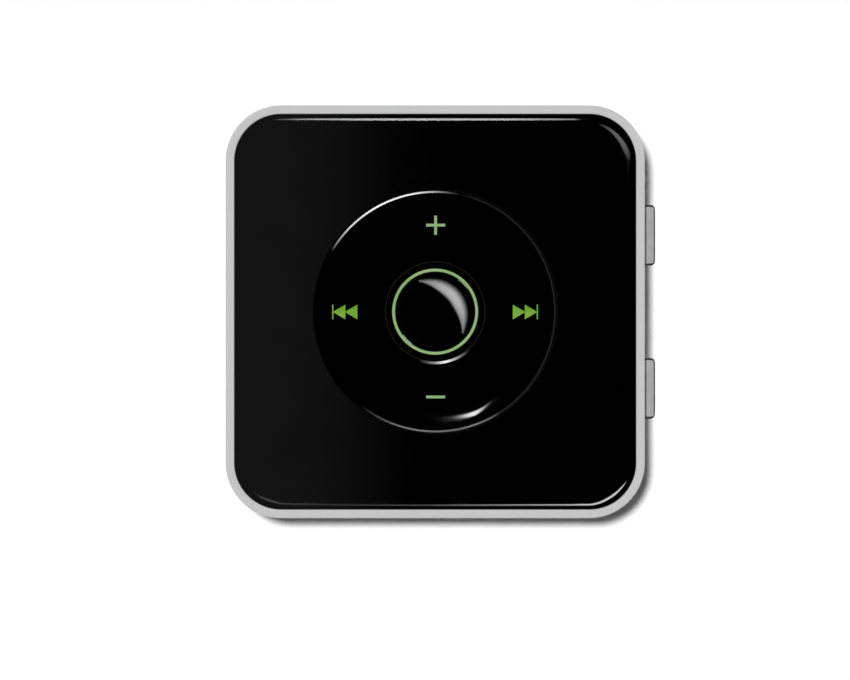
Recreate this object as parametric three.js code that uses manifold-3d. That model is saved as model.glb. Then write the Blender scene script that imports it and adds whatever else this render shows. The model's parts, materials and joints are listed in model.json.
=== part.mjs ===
// A pocket digital audio player: a square, screenless body with a four-way control ring,
// a domed centre button inside a green light ring, and two keys on its right-hand side.
//
// Millimetres, +Z up. The player lies on its back: the origin is the centre of the flat back,
// +Z comes out of the face, +Y points to the "+" mark and +X to the side keys.

import * as THREE from 'three';
import { mergeVertices } from 'three/addons/utils/BufferGeometryUtils.js';
import Module from 'manifold-3d';

const wasm = await Module();
wasm.setup();

// ---------------------------------------------------------------- driving dimensions

const BODY_WIDTH = 40; // across X, without the side keys
const BODY_HEIGHT = 39.4; // across Y
const BODY_CORNER = 5.3; // corner radius seen from the front
const RIM_WIDTH = 0.83; // the case band's wall, seen from the front as a light rim
const COVER_TOP = 1.3; // thickness of the rear cover
const BAND_TOP = 8.6; // front edge of the case band
const FACE_TOP = 9.2; // flat of the black front panel

const RING_RADIUS = 11.38; // control ring
const RING_HOLE = 4.66; // hole in it for the centre button
const RING_RIM_TOP = 9.22; // crest of its outer rim
const DISH_FLOOR = 9; // flat of its thumb dish, from DISH_INNER out to DISH_OUTER
const DISH_INNER = 5.3;
const DISH_OUTER = 9.4;
const PANEL_HOLE = 11.48; // hole in the front panel, round the ring
const PIVOT_Z = 7.3; // height of both tilt axes
const ACTUATOR_REACH = 10.45; // from the centre to each of the ring's actuator posts

const LIGHT_INNER = 3.8; // green light ring
const LIGHT_OUTER = 4.17;
const BUTTON_RADIUS = 3.74; // centre button
const BUTTON_DOME = 3.4; // radius of its dome
const BUTTON_DOME_CURVE = 9; // the dome's own radius of curvature

const MARK_REACH = 8.2; // from the centre to the plus and minus marks
const SKIP_REACH = 8.58; // from the centre to the two skip marks
const MARK_SIZE = 1.88; // length of a stroke of the plus
const MARK_STROKE = 0.35;
const TRIANGLE = [1.12, 1.4]; // length and height of a skip triangle
const SKIP_BAR = 0.13; // thickness of a skip mark's end bar

const KEY_OFFSET = 7.33; // side keys, above and below the middle
const KEY_LENGTH = 5.72;
const KEY_DEPTH = 2.8; // across Z
const KEY_CORNER = 0.7;
const KEY_PROUD = 0.98; // stands out of the band
const KEY_Z = 5.2;

const BOARD_BOTTOM = 4.6; // main circuit board
const BOARD_TOP = 5.4;
const SCREW_X = 15.6; // rear cover screws and the chassis bosses they enter
const SCREW_Y = 15.3;
const BOARD_SCREW_X = 16.2; // board screws, on the X axis
const DOME_RADIUS = 2; // snap domes under the ring and the centre button
const DOME_RISE = 0.27;

const JACK_X = -10.5; // headphone jack, in the top wall
const JACK_Z = 4.4;
const JACK_BORE = 1.85;
const USB_X = 9; // USB socket, in the bottom wall
const USB_Z = 3.98;

const SEAM = 0.06; // gap between neighbouring shells
const FIT = 0.03; // gap between pieces that touch
const KEY_PLAY = 0.08; // gap round a key that slides
const POST_END = BOARD_TOP + DOME_RISE + 2 * FIT; // the posts end just above the snap domes

const ROUND = 48; // facets of a large circle
const FINE_ROUND = 28; // facets of the jack's circles
const SMALL_ROUND = 16; // facets of a small circle
const TINY_ROUND = 10;
const CORNER_STEPS = 4; // half the facets of a quarter-round corner

// ---------------------------------------------------------------- materials

const finish = (color, roughness, metalness = 0) =>
  new THREE.MeshStandardMaterial({ color, roughness, metalness });

const SILVER = finish(0xc5c5c5, 0.45, 0.6);
const GLOSS_BLACK = finish(0x050505, 0.06);
const GREEN = finish(0x7ab648, 0.3);
const KEY_GREY = finish(0xb0b0b0, 0.4, 0.5);
const MATTE_BLACK = finish(0x17181a, 0.6);
const BOARD_GREEN = finish(0x15482c, 0.45);
const CHIP_BLACK = finish(0x1b1b1d, 0.55);
const STEEL = finish(0xb9bcc0, 0.3, 1);
const GOLD = finish(0xd2a94e, 0.3, 1);
const FOIL = finish(0xbcc0c4, 0.35, 0.9);
const AMBER_FILM = finish(0xc98a2b, 0.4);
const FOAM = finish(0x3a3b3d, 0.95);
const TAPE = finish(0x2b2b2b, 0.8);
const CERAMIC = finish(0xb59a78, 0.6);
const LED_WHITE = finish(0xe8ecdf, 0.35);
const RED_WIRE = finish(0xb3231b, 0.5);
const BLACK_WIRE = finish(0x141414, 0.5);

// ---------------------------------------------------------------- solids

// A closed three.js geometry as a manifold-3d solid.
function solid(geometry) {
  const bare = geometry.clone();
  bare.deleteAttribute('normal');
  bare.deleteAttribute('uv');
  const merged = mergeVertices(bare, 1e-4);
  const corners = merged.index.array;
  const kept = [];
  for (let i = 0; i < corners.length; i += 3) {
    const [a, b, c] = corners.slice(i, i + 3);
    if (a !== b && b !== c && c !== a) kept.push(a, b, c);
  }
  const vertProperties = merged.attributes.position.array;
  return new wasm.Manifold(new wasm.Mesh({ numProp: 3, vertProperties, triVerts: Uint32Array.from(kept) }));
}

// A manifold-3d solid as a three.js geometry.
function geometryOf(made) {
  const mesh = made.getMesh();
  const geometry = new THREE.BufferGeometry();
  geometry.setAttribute('position', new THREE.BufferAttribute(mesh.vertProperties, 3));
  geometry.setIndex(new THREE.BufferAttribute(mesh.triVerts, 1));
  geometry.computeVertexNormals();
  return geometry;
}

const join = (first, ...others) => others.reduce((made, other) => made.add(other), first);
const cut = (first, ...others) => others.reduce((made, other) => made.subtract(other), first);

function piece(name, made, material, position = [0, 0, 0]) {
  const mesh = new THREE.Mesh(geometryOf(made), material);
  mesh.name = name;
  mesh.position.set(...position);
  return mesh;
}

function assembly(position, ...pieces) {
  const group = new THREE.Group();
  group.position.set(...position);
  group.add(...pieces);
  return group;
}

// A rectangle with rounded corners, centred on x, y.
function roundedRect(width, height, radius, x = 0, y = 0) {
  const right = width / 2 - radius;
  const top = height / 2 - radius;
  const shape = new THREE.Shape();
  shape.absarc(x + right, y + top, radius, 0, Math.PI / 2);
  shape.absarc(x - right, y + top, radius, Math.PI / 2, Math.PI);
  shape.absarc(x - right, y - top, radius, Math.PI, 1.5 * Math.PI);
  shape.absarc(x + right, y - top, radius, 1.5 * Math.PI, 2 * Math.PI);
  shape.closePath();
  return shape;
}

// The body's outline seen from the front, moved inwards.
const outline = (inset) =>
  roundedRect(BODY_WIDTH - 2 * inset, BODY_HEIGHT - 2 * inset, BODY_CORNER - inset);

function polygon(...points) {
  return new THREE.Shape(points.map(([x, y]) => new THREE.Vector2(x, y)));
}

function extrude(shape, bottom, top, steps = CORNER_STEPS) {
  const options = { depth: top - bottom, bevelEnabled: false, curveSegments: steps };
  return solid(new THREE.ExtrudeGeometry(shape, options).translate(0, 0, bottom));
}

// An extrusion whose top edge is rounded: `inward` wide and `down` deep.
function crowned(shape, bottom, top, inward, down, bevelSteps) {
  const options = {
    depth: top - bottom - down,
    bevelSize: inward,
    bevelOffset: -inward,
    bevelThickness: down,
    bevelSegments: bevelSteps,
    curveSegments: CORNER_STEPS,
  };
  const whole = solid(new THREE.ExtrudeGeometry(shape, options).translate(0, 0, bottom));
  return cut(whole, box(2 * BODY_WIDTH, 2 * BODY_WIDTH, BODY_WIDTH, 0, 0, bottom - BODY_WIDTH));
}

// A box centred on x, y, standing on z.
function box(width, depth, height, x = 0, y = 0, z = 0) {
  return solid(new THREE.BoxGeometry(width, depth, height).translate(x, y, z + height / 2));
}

function disc(radius, bottom, top, x = 0, y = 0, facets = SMALL_ROUND) {
  const height = top - bottom;
  const made = new THREE.CylinderGeometry(radius, radius, height, facets).rotateX(Math.PI / 2);
  return solid(made.translate(x, y, bottom + height / 2));
}

// A cylinder along X or Y, from `start` to `end` on that axis.
function rod(axis, radius, start, end, across, z, facets = TINY_ROUND) {
  const made = new THREE.CylinderGeometry(radius, radius, end - start, facets);
  const middle = (start + end) / 2;
  if (axis === 'x') return solid(made.rotateZ(Math.PI / 2).translate(middle, across, z));
  return solid(made.translate(across, middle, z));
}

// A profile of [radius, height] points turned about Z. It runs bottom to top on its outer side.
function turned(profile, facets = ROUND) {
  const points = profile.map(([radius, z]) => new THREE.Vector2(radius, z));
  return solid(new THREE.LatheGeometry(points, facets).rotateX(Math.PI / 2));
}

const degrees = (angle) => (angle * Math.PI) / 180;

// Points of an arc in a profile, from one angle to another, in degrees from the outward direction.
function arc(centreRadius, centreZ, radius, from, to, steps) {
  return Array.from({ length: steps + 1 }, (_, i) => {
    const angle = degrees(from + ((to - from) * i) / steps);
    return [centreRadius + radius * Math.cos(angle), centreZ + radius * Math.sin(angle)];
  });
}

function tube(inner, outer, bottom, top, facets = ROUND) {
  return turned([[inner, bottom], [outer, bottom], [outer, top], [inner, top], [inner, bottom]], facets);
}

// A round wire along a smooth curve through the points.
function wire(radius, ...points) {
  const section = new THREE.Shape();
  section.absarc(0, 0, radius, 0, 2 * Math.PI);
  const path = new THREE.CatmullRomCurve3(points.map((point) => new THREE.Vector3(...point)));
  const options = { extrudePath: path, steps: 14, curveSegments: 4, bevelEnabled: false };
  return solid(new THREE.ExtrudeGeometry(section, options));
}

// ---------------------------------------------------------------- shells

const SCREW_SPOTS = [[1, 1], [-1, 1], [-1, -1], [1, -1]].map(([x, y]) => [x * SCREW_X, y * SCREW_Y]);
const SCREW_SHANK = 0.7;
const SCREW_HEAD = 1.2;
const SCREW_SINK = 0.6; // depth of the seat in the rear cover
const JACK_TRIM = 2.6; // outer radius of the jack's trim ring
const WALL_CUT = [18, 21]; // how far out a cutter for a hole in the band's wall runs

function rearCover() {
  const edge = 1; // the back's edge is rounded, so it is made face up and turned over
  const plate = crowned(outline(0), -COVER_TOP, 0, edge, edge, 4).rotate([180, 0, 0]);
  const [ribInner, ribTop] = [1.6, 1.9];
  const ribOutside = extrude(outline(RIM_WIDTH + SEAM), COVER_TOP - FIT, ribTop);
  const rib = cut(ribOutside, extrude(outline(ribInner), 1, ribTop + 1));
  const holes = SCREW_SPOTS.flatMap(([x, y]) => [
    disc(SCREW_SHANK + 0.1, -1, ribTop + 1, x, y),
    disc(SCREW_HEAD + 0.08, -1, SCREW_SINK, x, y),
  ]);
  return piece('rear_cover', cut(join(plate, rib), ...holes), SILVER);
}

// The slot that a side key slides in, cut through the band's right wall.
function keySlot(y) {
  const grown = 2 * KEY_PLAY;
  const shape = roundedRect(KEY_DEPTH + grown, KEY_LENGTH + grown, KEY_CORNER + KEY_PLAY);
  return extrude(shape, ...WALL_CUT).rotate([0, 90, 0]).translate([0, y, KEY_Z]);
}

function usbOpening() {
  const shape = roundedRect(8.3, 4.5, 0.9);
  return extrude(shape, ...WALL_CUT).rotate([90, 0, 0]).translate([USB_X, 0, USB_Z]);
}

// The chassis and the front panel rest on a ledge inside the band.
const LEDGE_TOP = 7.4;
const LEDGE_BOTTOM = 6.9;
const LEDGE_INSET = 2.3;

function caseBand() {
  const chamfer = 0.12;
  const outside = crowned(outline(0), COVER_TOP + SEAM, BAND_TOP, chamfer, chamfer, 1);
  const inside = extrude(outline(RIM_WIDTH), 0, BAND_TOP + 1);
  const ledgeOutside = extrude(outline(RIM_WIDTH - 0.1), LEDGE_BOTTOM, LEDGE_TOP);
  const ledge = cut(ledgeOutside, extrude(outline(LEDGE_INSET), LEDGE_BOTTOM - 1, LEDGE_TOP + 1));
  const jackHole = rod('y', JACK_TRIM + 0.05, ...WALL_CUT, JACK_X, JACK_Z, FINE_ROUND);
  const walls = join(cut(outside, inside), ledge);
  const openings = [jackHole, usbOpening(), keySlot(KEY_OFFSET), keySlot(-KEY_OFFSET)];
  return piece('case_band', cut(walls, ...openings), SILVER);
}

const PANEL_INSET = RIM_WIDTH + 0.04;
const PANEL_UNDERSIDE = 8.2;

function frontPanel() {
  const skirtBottom = 7.57;
  const skirtWall = 0.9;
  const chamfer = 0.1;
  const crown = crowned(outline(PANEL_INSET), skirtBottom, FACE_TOP, 1, 0.65, 5);
  const pocket = extrude(outline(PANEL_INSET + skirtWall), skirtBottom - 1, PANEL_UNDERSIDE);
  const hole = turned([
    [0, skirtBottom],
    [PANEL_HOLE, skirtBottom],
    [PANEL_HOLE, FACE_TOP - chamfer],
    [PANEL_HOLE + 2 * chamfer, FACE_TOP + chamfer],
    [0, FACE_TOP + chamfer],
  ]);
  return piece('front_panel', cut(crown, pocket, hole), GLOSS_BLACK);
}

function panelTape() {
  const [from, to] = [0.95, 1.45]; // insets of its two edges
  const outside = extrude(outline(from), LEDGE_TOP + 0.02, LEDGE_TOP + 0.15);
  return piece('front_panel_tape', cut(outside, extrude(outline(to), LEDGE_TOP - 1, LEDGE_TOP + 1)), TAPE);
}

// ---------------------------------------------------------------- control ring

const RING_FLANGE = 12.2; // a flange keeps the ring under the front panel
const FLANGE_BOTTOM = 7.35;
const FLANGE_TOP = 7.75;
const SKIRT_INNER = 10.6; // the hanging skirt behind the flange
const WEB_BOTTOM = 7.95; // underside of the dished web
const RIM_ROUND = 0.4; // rounding of the outer rim
const DISH_END = RING_RADIUS - RIM_ROUND; // crest of the rim, where the dish begins
const LIP_CURVE = 3.5; // the dish rolls off towards the button on this radius
const LIP_ROUND = 0.09; // and ends in this small round at the hole

// Height of the face: a flat floor that sweeps up to the rim, and rolls off towards the button.
function dishHeight(radius) {
  const rise = RING_RIM_TOP - DISH_FLOOR;
  const run = DISH_END - DISH_OUTER;
  const sweep = (run ** 2 + rise ** 2) / (2 * rise);
  const away = (curve, distance) => curve - Math.sqrt(curve ** 2 - Math.max(distance, 0) ** 2);
  return DISH_FLOOR + away(sweep, radius - DISH_OUTER) - away(LIP_CURVE, DISH_INNER - radius);
}

// The face, as [radius, height] points from its outer end to its inner end.
function dishPoints() {
  const sweepSteps = 4;
  const sweep = Array.from({ length: sweepSteps + 1 }, (_, i) =>
    DISH_END + ((DISH_OUTER - DISH_END) * i) / sweepSteps);
  return [...sweep, DISH_INNER, RING_HOLE + LIP_ROUND].map((radius) => [radius, dishHeight(radius)]);
}

function ringBlank() {
  const lipDepth = 0.4;
  const profile = [
    [RING_FLANGE, FLANGE_BOTTOM],
    [RING_FLANGE, FLANGE_TOP],
    [RING_RADIUS, FLANGE_TOP],
    ...arc(DISH_END, RING_RIM_TOP - RIM_ROUND, RIM_ROUND, 0, 90, 2).slice(0, -1),
    ...dishPoints(),
    [RING_HOLE, dishHeight(RING_HOLE) - LIP_ROUND],
    [RING_HOLE, WEB_BOTTOM - 0.15],
    [RING_HOLE + lipDepth, WEB_BOTTOM - 0.15],
    [RING_HOLE + lipDepth, WEB_BOTTOM],
    [SKIRT_INNER, WEB_BOTTOM],
    [SKIRT_INNER, FLANGE_BOTTOM],
  ];
  return turned([...profile, profile[0]]);
}

// Everything below the face, so that the marks end flush with it.
function belowDish() {
  const points = dishPoints();
  const [outer, inner] = [points[0][0], points.at(-1)[0]];
  return turned([[inner, FLANGE_BOTTOM], [outer, FLANGE_BOTTOM], ...points, [inner, FLANGE_BOTTOM]]);
}

// The strokes of one mark, each side moved out by `grow`, drawn round the mark's own centre.
const MARKS = {
  plus: (grow) => [stroke(MARK_SIZE, MARK_STROKE, grow), stroke(MARK_STROKE, MARK_SIZE, grow)],
  minus: (grow) => [stroke(MARK_SIZE, MARK_STROKE, grow)],
  next: (grow) => skipStrokes(1, grow),
  previous: (grow) => skipStrokes(-1, grow),
};

function stroke(width, height, grow) {
  const [x, y] = [width / 2 + grow, height / 2 + grow];
  return polygon([-x, -y], [x, -y], [x, y], [-x, y]);
}

// Two triangles that point along `way`, with a bar at their tip. Each runs a little into the next.
function skipStrokes(way, grow) {
  const [length, height] = TRIANGLE;
  const half = height / 2 + grow;
  const lap = 0.05;
  const step = length - lap;
  const start = -(2 * step + SKIP_BAR) / 2;
  const triangle = (from) => {
    const [base, tip, side] = [from - grow, from + length + 2 * grow, half + grow / 2];
    return orient([[base, -side], [tip, 0], [base, side]], way);
  };
  const [bar, end] = [start + 2 * step - grow, start + 2 * step + SKIP_BAR + grow];
  const barCorners = [[bar, -half], [end, -half], [end, half], [bar, half]];
  return [triangle(start), triangle(start + step), orient(barCorners, way)];
}

const orient = (corners, way) => polygon(...corners.map(([x, y]) => [way * x, y]));

const MARK_SPOTS = {
  plus: [0, MARK_REACH],
  minus: [0, -MARK_REACH],
  next: [SKIP_REACH, 0],
  previous: [-SKIP_REACH, 0],
};
const PAD_SIZES = { plus: [2.3, 2.3], minus: [2.3, 1], next: [2.7, 1.9], previous: [2.7, 1.9] };
const PAD_BOTTOM = 7.67;

function strokeSolids(kind, grow, bottom) {
  const strokes = MARKS[kind](grow).map((shape) => extrude(shape, bottom, RING_RIM_TOP + 1));
  return strokes.map((made) => made.translate([...MARK_SPOTS[kind], 0]));
}

// A translucent insert: a pad under the web, with the mark's strokes standing up through it.
function markInsert(kind) {
  const pad = box(...PAD_SIZES[kind], WEB_BOTTOM - FIT - PAD_BOTTOM, ...MARK_SPOTS[kind], PAD_BOTTOM);
  const made = join(pad, ...strokeSolids(kind, 0, PAD_BOTTOM)).intersect(belowDish());
  return piece(`${kind}_mark`, made, GREEN);
}

const QUARTERS = [0, 90, 180, 270];
const GIMBAL_PIN = 0.28;
const PIN_HOLE = 0.34;

function controlRing() {
  const posts = QUARTERS.map((turn) =>
    disc(0.5, POST_END, WEB_BOTTOM + FIT, ACTUATOR_REACH, 0, TINY_ROUND).rotate([0, 0, turn]));
  const [lugReach, lugBottom] = [6.55, PIVOT_Z - 0.35];
  const lugHeight = WEB_BOTTOM + 0.05 - lugBottom;
  const lugs = [1, -1].map((side) => box(1.4, 0.6, lugHeight, 0, side * lugReach, lugBottom));
  const pinHoles = rod('y', PIN_HOLE, -lugReach - 0.4, lugReach + 0.4, 0, PIVOT_Z);
  const windows = Object.keys(MARKS).flatMap((kind) => strokeSolids(kind, 0.02, FLANGE_BOTTOM));
  const body = join(ringBlank(), ...posts, ...lugs);
  return piece('control_ring', cut(body, pinHoles, ...windows), GLOSS_BLACK);
}

// The ring tilts on this gimbal: its inner pins turn in the collar and its outer pins carry the ring.
function gimbalRing() {
  const [inner, outer, half] = [5.1, 6.05, 0.25];
  const innerPin = rod('x', GIMBAL_PIN, 4.26, inner + 0.2, 0, PIVOT_Z);
  const outerPin = rod('y', GIMBAL_PIN, outer - 0.15, 6.78, 0, PIVOT_Z);
  const plate = tube(inner, outer, PIVOT_Z - half, PIVOT_Z + half, 40);
  const pins = [0, 180].flatMap((turn) => [innerPin.rotate([0, 0, turn]), outerPin.rotate([0, 0, turn])]);
  return piece('gimbal_ring', join(plate, ...pins), STEEL);
}

// ---------------------------------------------------------------- centre button

const COLLAR_INNER = LIGHT_OUTER + 0.02;
const COLLAR_OUTER = 4.5;
const LAND_Z = 8.9; // flat step round the dome

function buttonCollar() {
  const [foot, footTop, top] = [5, 5.85, 8.95];
  const profile = [
    [foot, BOARD_TOP + FIT],
    [foot, footTop],
    [COLLAR_OUTER, footTop],
    [COLLAR_OUTER, top],
    [COLLAR_INNER, top],
    [COLLAR_INNER, BOARD_TOP + FIT],
  ];
  const made = cut(turned([...profile, profile[0]]), rod('x', PIN_HOLE, -foot, foot, 0, PIVOT_Z));
  return piece('button_collar', made, GLOSS_BLACK);
}

// A clear green ring whose four legs take the light up from the four LEDs.
function lightRing() {
  const [legBottom, ringBottom, top] = [5.97, 7.85, 8.97];
  const ring = tube(LIGHT_INNER, LIGHT_OUTER, ringBottom, top);
  const bar = box(2 * LIGHT_OUTER, 0.8, ringBottom + 0.07 - legBottom, 0, 0, legBottom);
  const cross = bar.rotate([0, 0, 45]).add(bar.rotate([0, 0, -45]));
  const legs = cross.intersect(tube(LIGHT_INNER, LIGHT_OUTER, legBottom - 1, top));
  return piece('light_ring', join(ring, legs), GREEN);
}

function centreButton() {
  const curveCentre = LAND_Z + 0.1 - Math.sqrt(BUTTON_DOME_CURVE ** 2 - BUTTON_DOME ** 2);
  const rise = (Math.asin(BUTTON_DOME / BUTTON_DOME_CURVE) * 180) / Math.PI;
  const [post, wall, roof, skirt] = [0.8, 2.9, 8.2, 7.35];
  const profile = [
    [0, POST_END],
    [post, POST_END],
    [post, roof],
    [wall, roof],
    [wall, skirt],
    [BUTTON_RADIUS, skirt],
    [BUTTON_RADIUS, LAND_Z],
    [BUTTON_DOME, LAND_Z],
    ...arc(0, curveCentre, BUTTON_DOME_CURVE, 90 - rise, 90, 5),
  ];
  const tabs = QUARTERS.map((turn) => box(0.9, 1.4, 0.4, BUTTON_RADIUS - 0.19, 0, skirt).rotate([0, 0, turn]));
  return piece('centre_button', join(turned(profile), ...tabs), GLOSS_BLACK);
}

// ---------------------------------------------------------------- side keys

// One key with its switch: the plunger moves in with the key, inside the switch's body.
function sideKey(name, y) {
  const stemStart = 18.5;
  const out = BODY_WIDTH / 2 + KEY_PROUD;
  const edge = 0.5;
  const shape = roundedRect(KEY_DEPTH, KEY_LENGTH, KEY_CORNER);
  const cap = crowned(shape, stemStart, out, edge, edge, 4).rotate([0, 90, 0]);
  const flangeDepth = KEY_DEPTH + 0.5;
  const flange = box(0.6, KEY_LENGTH + 0.9, flangeDepth, stemStart + 0.3, 0, -flangeDepth / 2);
  const plungerZ = 0.9;
  const plunger = box(1.42, 1.5, 0.8, 17.76, 0, plungerZ - 0.4);
  const body = cut(
    box(2.9, 4.4, 1.37, 16, 0, BOARD_TOP + FIT - KEY_Z),
    box(1.2, 1.6, 0.9, 17.2, 0, plungerZ - 0.45),
  );
  return assembly(
    [0, y, KEY_Z],
    piece(`${name}_side_key`, join(cap, flange), KEY_GREY),
    piece(`${name}_switch_plunger`, plunger, MATTE_BLACK),
    piece(`${name}_switch_body`, body, STEEL),
  );
}

// ---------------------------------------------------------------- chassis and screws

// The chassis rests on the band's ledge; the cover screws pull both against the rear cover.
function chassis() {
  const [inset, bottom, top] = [1.85, LEDGE_TOP + FIT, 8.1];
  const ringRoom = disc(RING_FLANGE + 0.3, bottom - 1, top + 1, 0, 0, ROUND);
  const plate = cut(extrude(outline(inset), bottom, top), ringRoom);
  const bosses = SCREW_SPOTS.map(([x, y]) => disc(1.6, COVER_TOP + SEAM, bottom + 0.1, x, y));
  const pilots = SCREW_SPOTS.map(([x, y]) => disc(SCREW_SHANK + 0.05, 0, 6.4, x, y));
  const posts = [1, -1].map((side) => disc(1.3, BOARD_TOP + FIT, bottom + 0.1, side * BOARD_SCREW_X, 0));
  const postPilots = [1, -1].map((side) => disc(0.65, BOARD_TOP - 1, 6.7, side * BOARD_SCREW_X, 0));
  return piece('chassis', cut(join(plate, ...bosses, ...posts), ...pilots, ...postPilots), MATTE_BLACK);
}

// A cross-head screw, head down, with the head's face at z = 0.
function screw(name, headRadius, headHeight, shankRadius, length, position) {
  const profile = [
    [0, 0],
    [headRadius, 0],
    [headRadius, headHeight],
    [shankRadius, headHeight],
    [shankRadius, length],
    [0, length],
  ];
  const slot = headRadius * 1.2;
  const depth = headHeight * 0.55;
  const cross = join(box(slot, 0.28, 2 * depth, 0, 0, -depth), box(0.28, slot, 2 * depth, 0, 0, -depth));
  return piece(name, cut(turned(profile, SMALL_ROUND), cross), STEEL, position);
}

function coverScrews() {
  return SCREW_SPOTS.map(([x, y], i) =>
    screw(`cover_screw_${i + 1}`, SCREW_HEAD, 0.55, SCREW_SHANK, 5.6, [x, y, 0.04]));
}

function boardScrews() {
  return [1, -1].map((side, i) =>
    screw(`board_screw_${i + 1}`, 1.1, 0.6, 0.6, 2.4, [side * BOARD_SCREW_X, 0, BOARD_BOTTOM - 0.62]));
}

// ---------------------------------------------------------------- circuit board

// Room for the two sockets, which stand through the board.
const socketNotches = () => [box(6.5, 14, 2, JACK_X, 12.3, 4), box(8.2, 10, 2, USB_X, -15.1, 4)];

function mainBoard() {
  const board = extrude(roundedRect(35.2, 34.6, 2.9), BOARD_BOTTOM, BOARD_TOP);
  const corners = SCREW_SPOTS.map(([x, y]) => box(4.2, 4.2, 2, x, y, 4));
  const screwHoles = [1, -1].map((side) => disc(0.75, 4, 6, side * BOARD_SCREW_X, 0));
  return piece('main_board', cut(board, ...corners, ...screwHoles, ...socketNotches()), BOARD_GREEN);
}

// A moulded chip with chamfered edges, standing on z = 0.
function chip(name, width, depth, height, position, material = CHIP_BLACK) {
  const edge = 0.08;
  const options = {
    depth: height - 2 * edge,
    bevelSize: edge,
    bevelOffset: -edge,
    bevelThickness: edge,
    bevelSegments: 1,
  };
  const [x, y] = [width / 2, depth / 2];
  const shape = polygon([-x, -y], [x, -y], [x, y], [-x, y]);
  const made = solid(new THREE.ExtrudeGeometry(shape, options).translate(0, 0, edge));
  return piece(name, made, material, position);
}

// The chips hang from the board's underside, above and below the battery.
function boardChips() {
  const under = (name, width, depth, height, x, y, material) =>
    chip(name, width, depth, height, [x, y, BOARD_BOTTOM - FIT - height], material);
  return [
    under('memory_chip', 9, 8, 1, -1.2, 11),
    under('processor_chip', 7.6, 7.6, 0.9, 8.4, 11),
    under('audio_chip', 4, 4, 0.8, 15, 9.4),
    under('crystal', 3.2, 1.5, 0.7, 8.4, 16.2, STEEL),
    under('power_inductor', 3.4, 3.4, 1.3, -10.8, -13.6),
    under('filter_capacitor_1', 3.2, 1.6, 1.3, -6.2, -12.4, AMBER_FILM),
    under('filter_capacitor_2', 3.2, 1.6, 1.3, -6.2, -15, AMBER_FILM),
    under('bypass_capacitor', 2, 1.25, 0.9, -2.4, -13.6, CERAMIC),
  ];
}

const DIAGONALS = [45, 135, 225, 315];
const LED_REACH = 3.55;

function lightLeds() {
  return DIAGONALS.map((turn, i) => {
    const led = chip(`ring_led_${i + 1}`, 0.8, 1.2, 0.5, [0, 0, BOARD_TOP + FIT], LED_WHITE);
    led.position.x = LED_REACH * Math.cos(degrees(turn));
    led.position.y = LED_REACH * Math.sin(degrees(turn));
    led.rotation.z = degrees(turn);
    return led;
  });
}

const DOME_SPOTS = {
  centre: [0, 0],
  next: [ACTUATOR_REACH, 0],
  plus: [0, ACTUATOR_REACH],
  previous: [-ACTUATOR_REACH, 0],
  minus: [0, -ACTUATOR_REACH],
};

// A snap dome: a thin dished disc of spring steel.
function snapDome(kind) {
  const [sheet, steps] = [0.07, 3];
  const point = (share) => [DOME_RADIUS * share, DOME_RISE * (1 - share ** 2)];
  const over = Array.from({ length: steps + 1 }, (_, i) => point(1 - i / steps));
  const under = over.slice().reverse().map(([radius, z]) => [radius * 0.94, Math.max(z - sheet, 0)]);
  const made = turned([...under, ...over], SMALL_ROUND);
  return piece(`${kind}_snap_dome`, made, STEEL, [...DOME_SPOTS[kind], BOARD_TOP + FIT]);
}

function domeFilm() {
  const ring = tube(8.05, 12.85, BOARD_TOP + FIT / 3, BOARD_TOP + 0.09);
  const holes = Object.values(DOME_SPOTS).map(([x, y]) => disc(DOME_RADIUS + 0.12, 5, 6, x, y));
  return piece('dome_film', cut(ring, ...holes, ...socketNotches()), AMBER_FILM);
}

// ---------------------------------------------------------------- battery

const CELL = { left: -12.5, right: 15.1, bottom: -9.8, top: 5.2, low: 1.5, high: 4.3 };
const CELL_X = (CELL.left + CELL.right) / 2;
const CELL_Y = (CELL.bottom + CELL.top) / 2;
const CELL_LENGTH = CELL.right - CELL.left;
const CELL_WIDTH = CELL.top - CELL.bottom;

function battery() {
  const puff = 0.5;
  const shape = roundedRect(CELL_LENGTH, CELL_WIDTH, 1.2);
  const options = {
    depth: CELL.high - CELL.low - 2 * puff,
    bevelSize: puff,
    bevelOffset: -puff,
    bevelThickness: puff,
    bevelSegments: 3,
    curveSegments: 3,
  };
  const cell = solid(new THREE.ExtrudeGeometry(shape, options).translate(CELL_X, CELL_Y, CELL.low + puff));
  const wireStart = CELL.left - 1.4;
  const pad = extrude(roundedRect(24, 11, 1, CELL_X, CELL_Y), COVER_TOP + FIT, CELL.low - FIT);
  const over = roundedRect(CELL_LENGTH, CELL_WIDTH, 1, CELL_X, CELL_Y);
  const cover = extrude(over, CELL.high + 0.07, CELL.high + 0.17);
  return [
    piece('battery_cell', cell, FOIL),
    piece('battery_protection_board', box(1.5, 9, 0.7, CELL.left - 0.85, CELL_Y, 2.4), BOARD_GREEN),
    piece('battery_foam_pad', pad, FOAM),
    piece('battery_insulator', cover, AMBER_FILM),
    piece('battery_lead_red', leadFrom(wireStart, -0.8), RED_WIRE),
    piece('battery_lead_black', leadFrom(wireStart, -3.8), BLACK_WIRE),
  ];
}

// A lead that loops from the protection board up to the underside of the main board.
function leadFrom(x, y) {
  const radius = 0.3;
  return wire(radius, [x, y, 3.45], [x - 1.1, y - 0.2, 3.3], [x - 2, y - 0.5, 3.6], [x - 2.2, y - 0.6, 4.52]);
}

// ---------------------------------------------------------------- sockets

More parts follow.
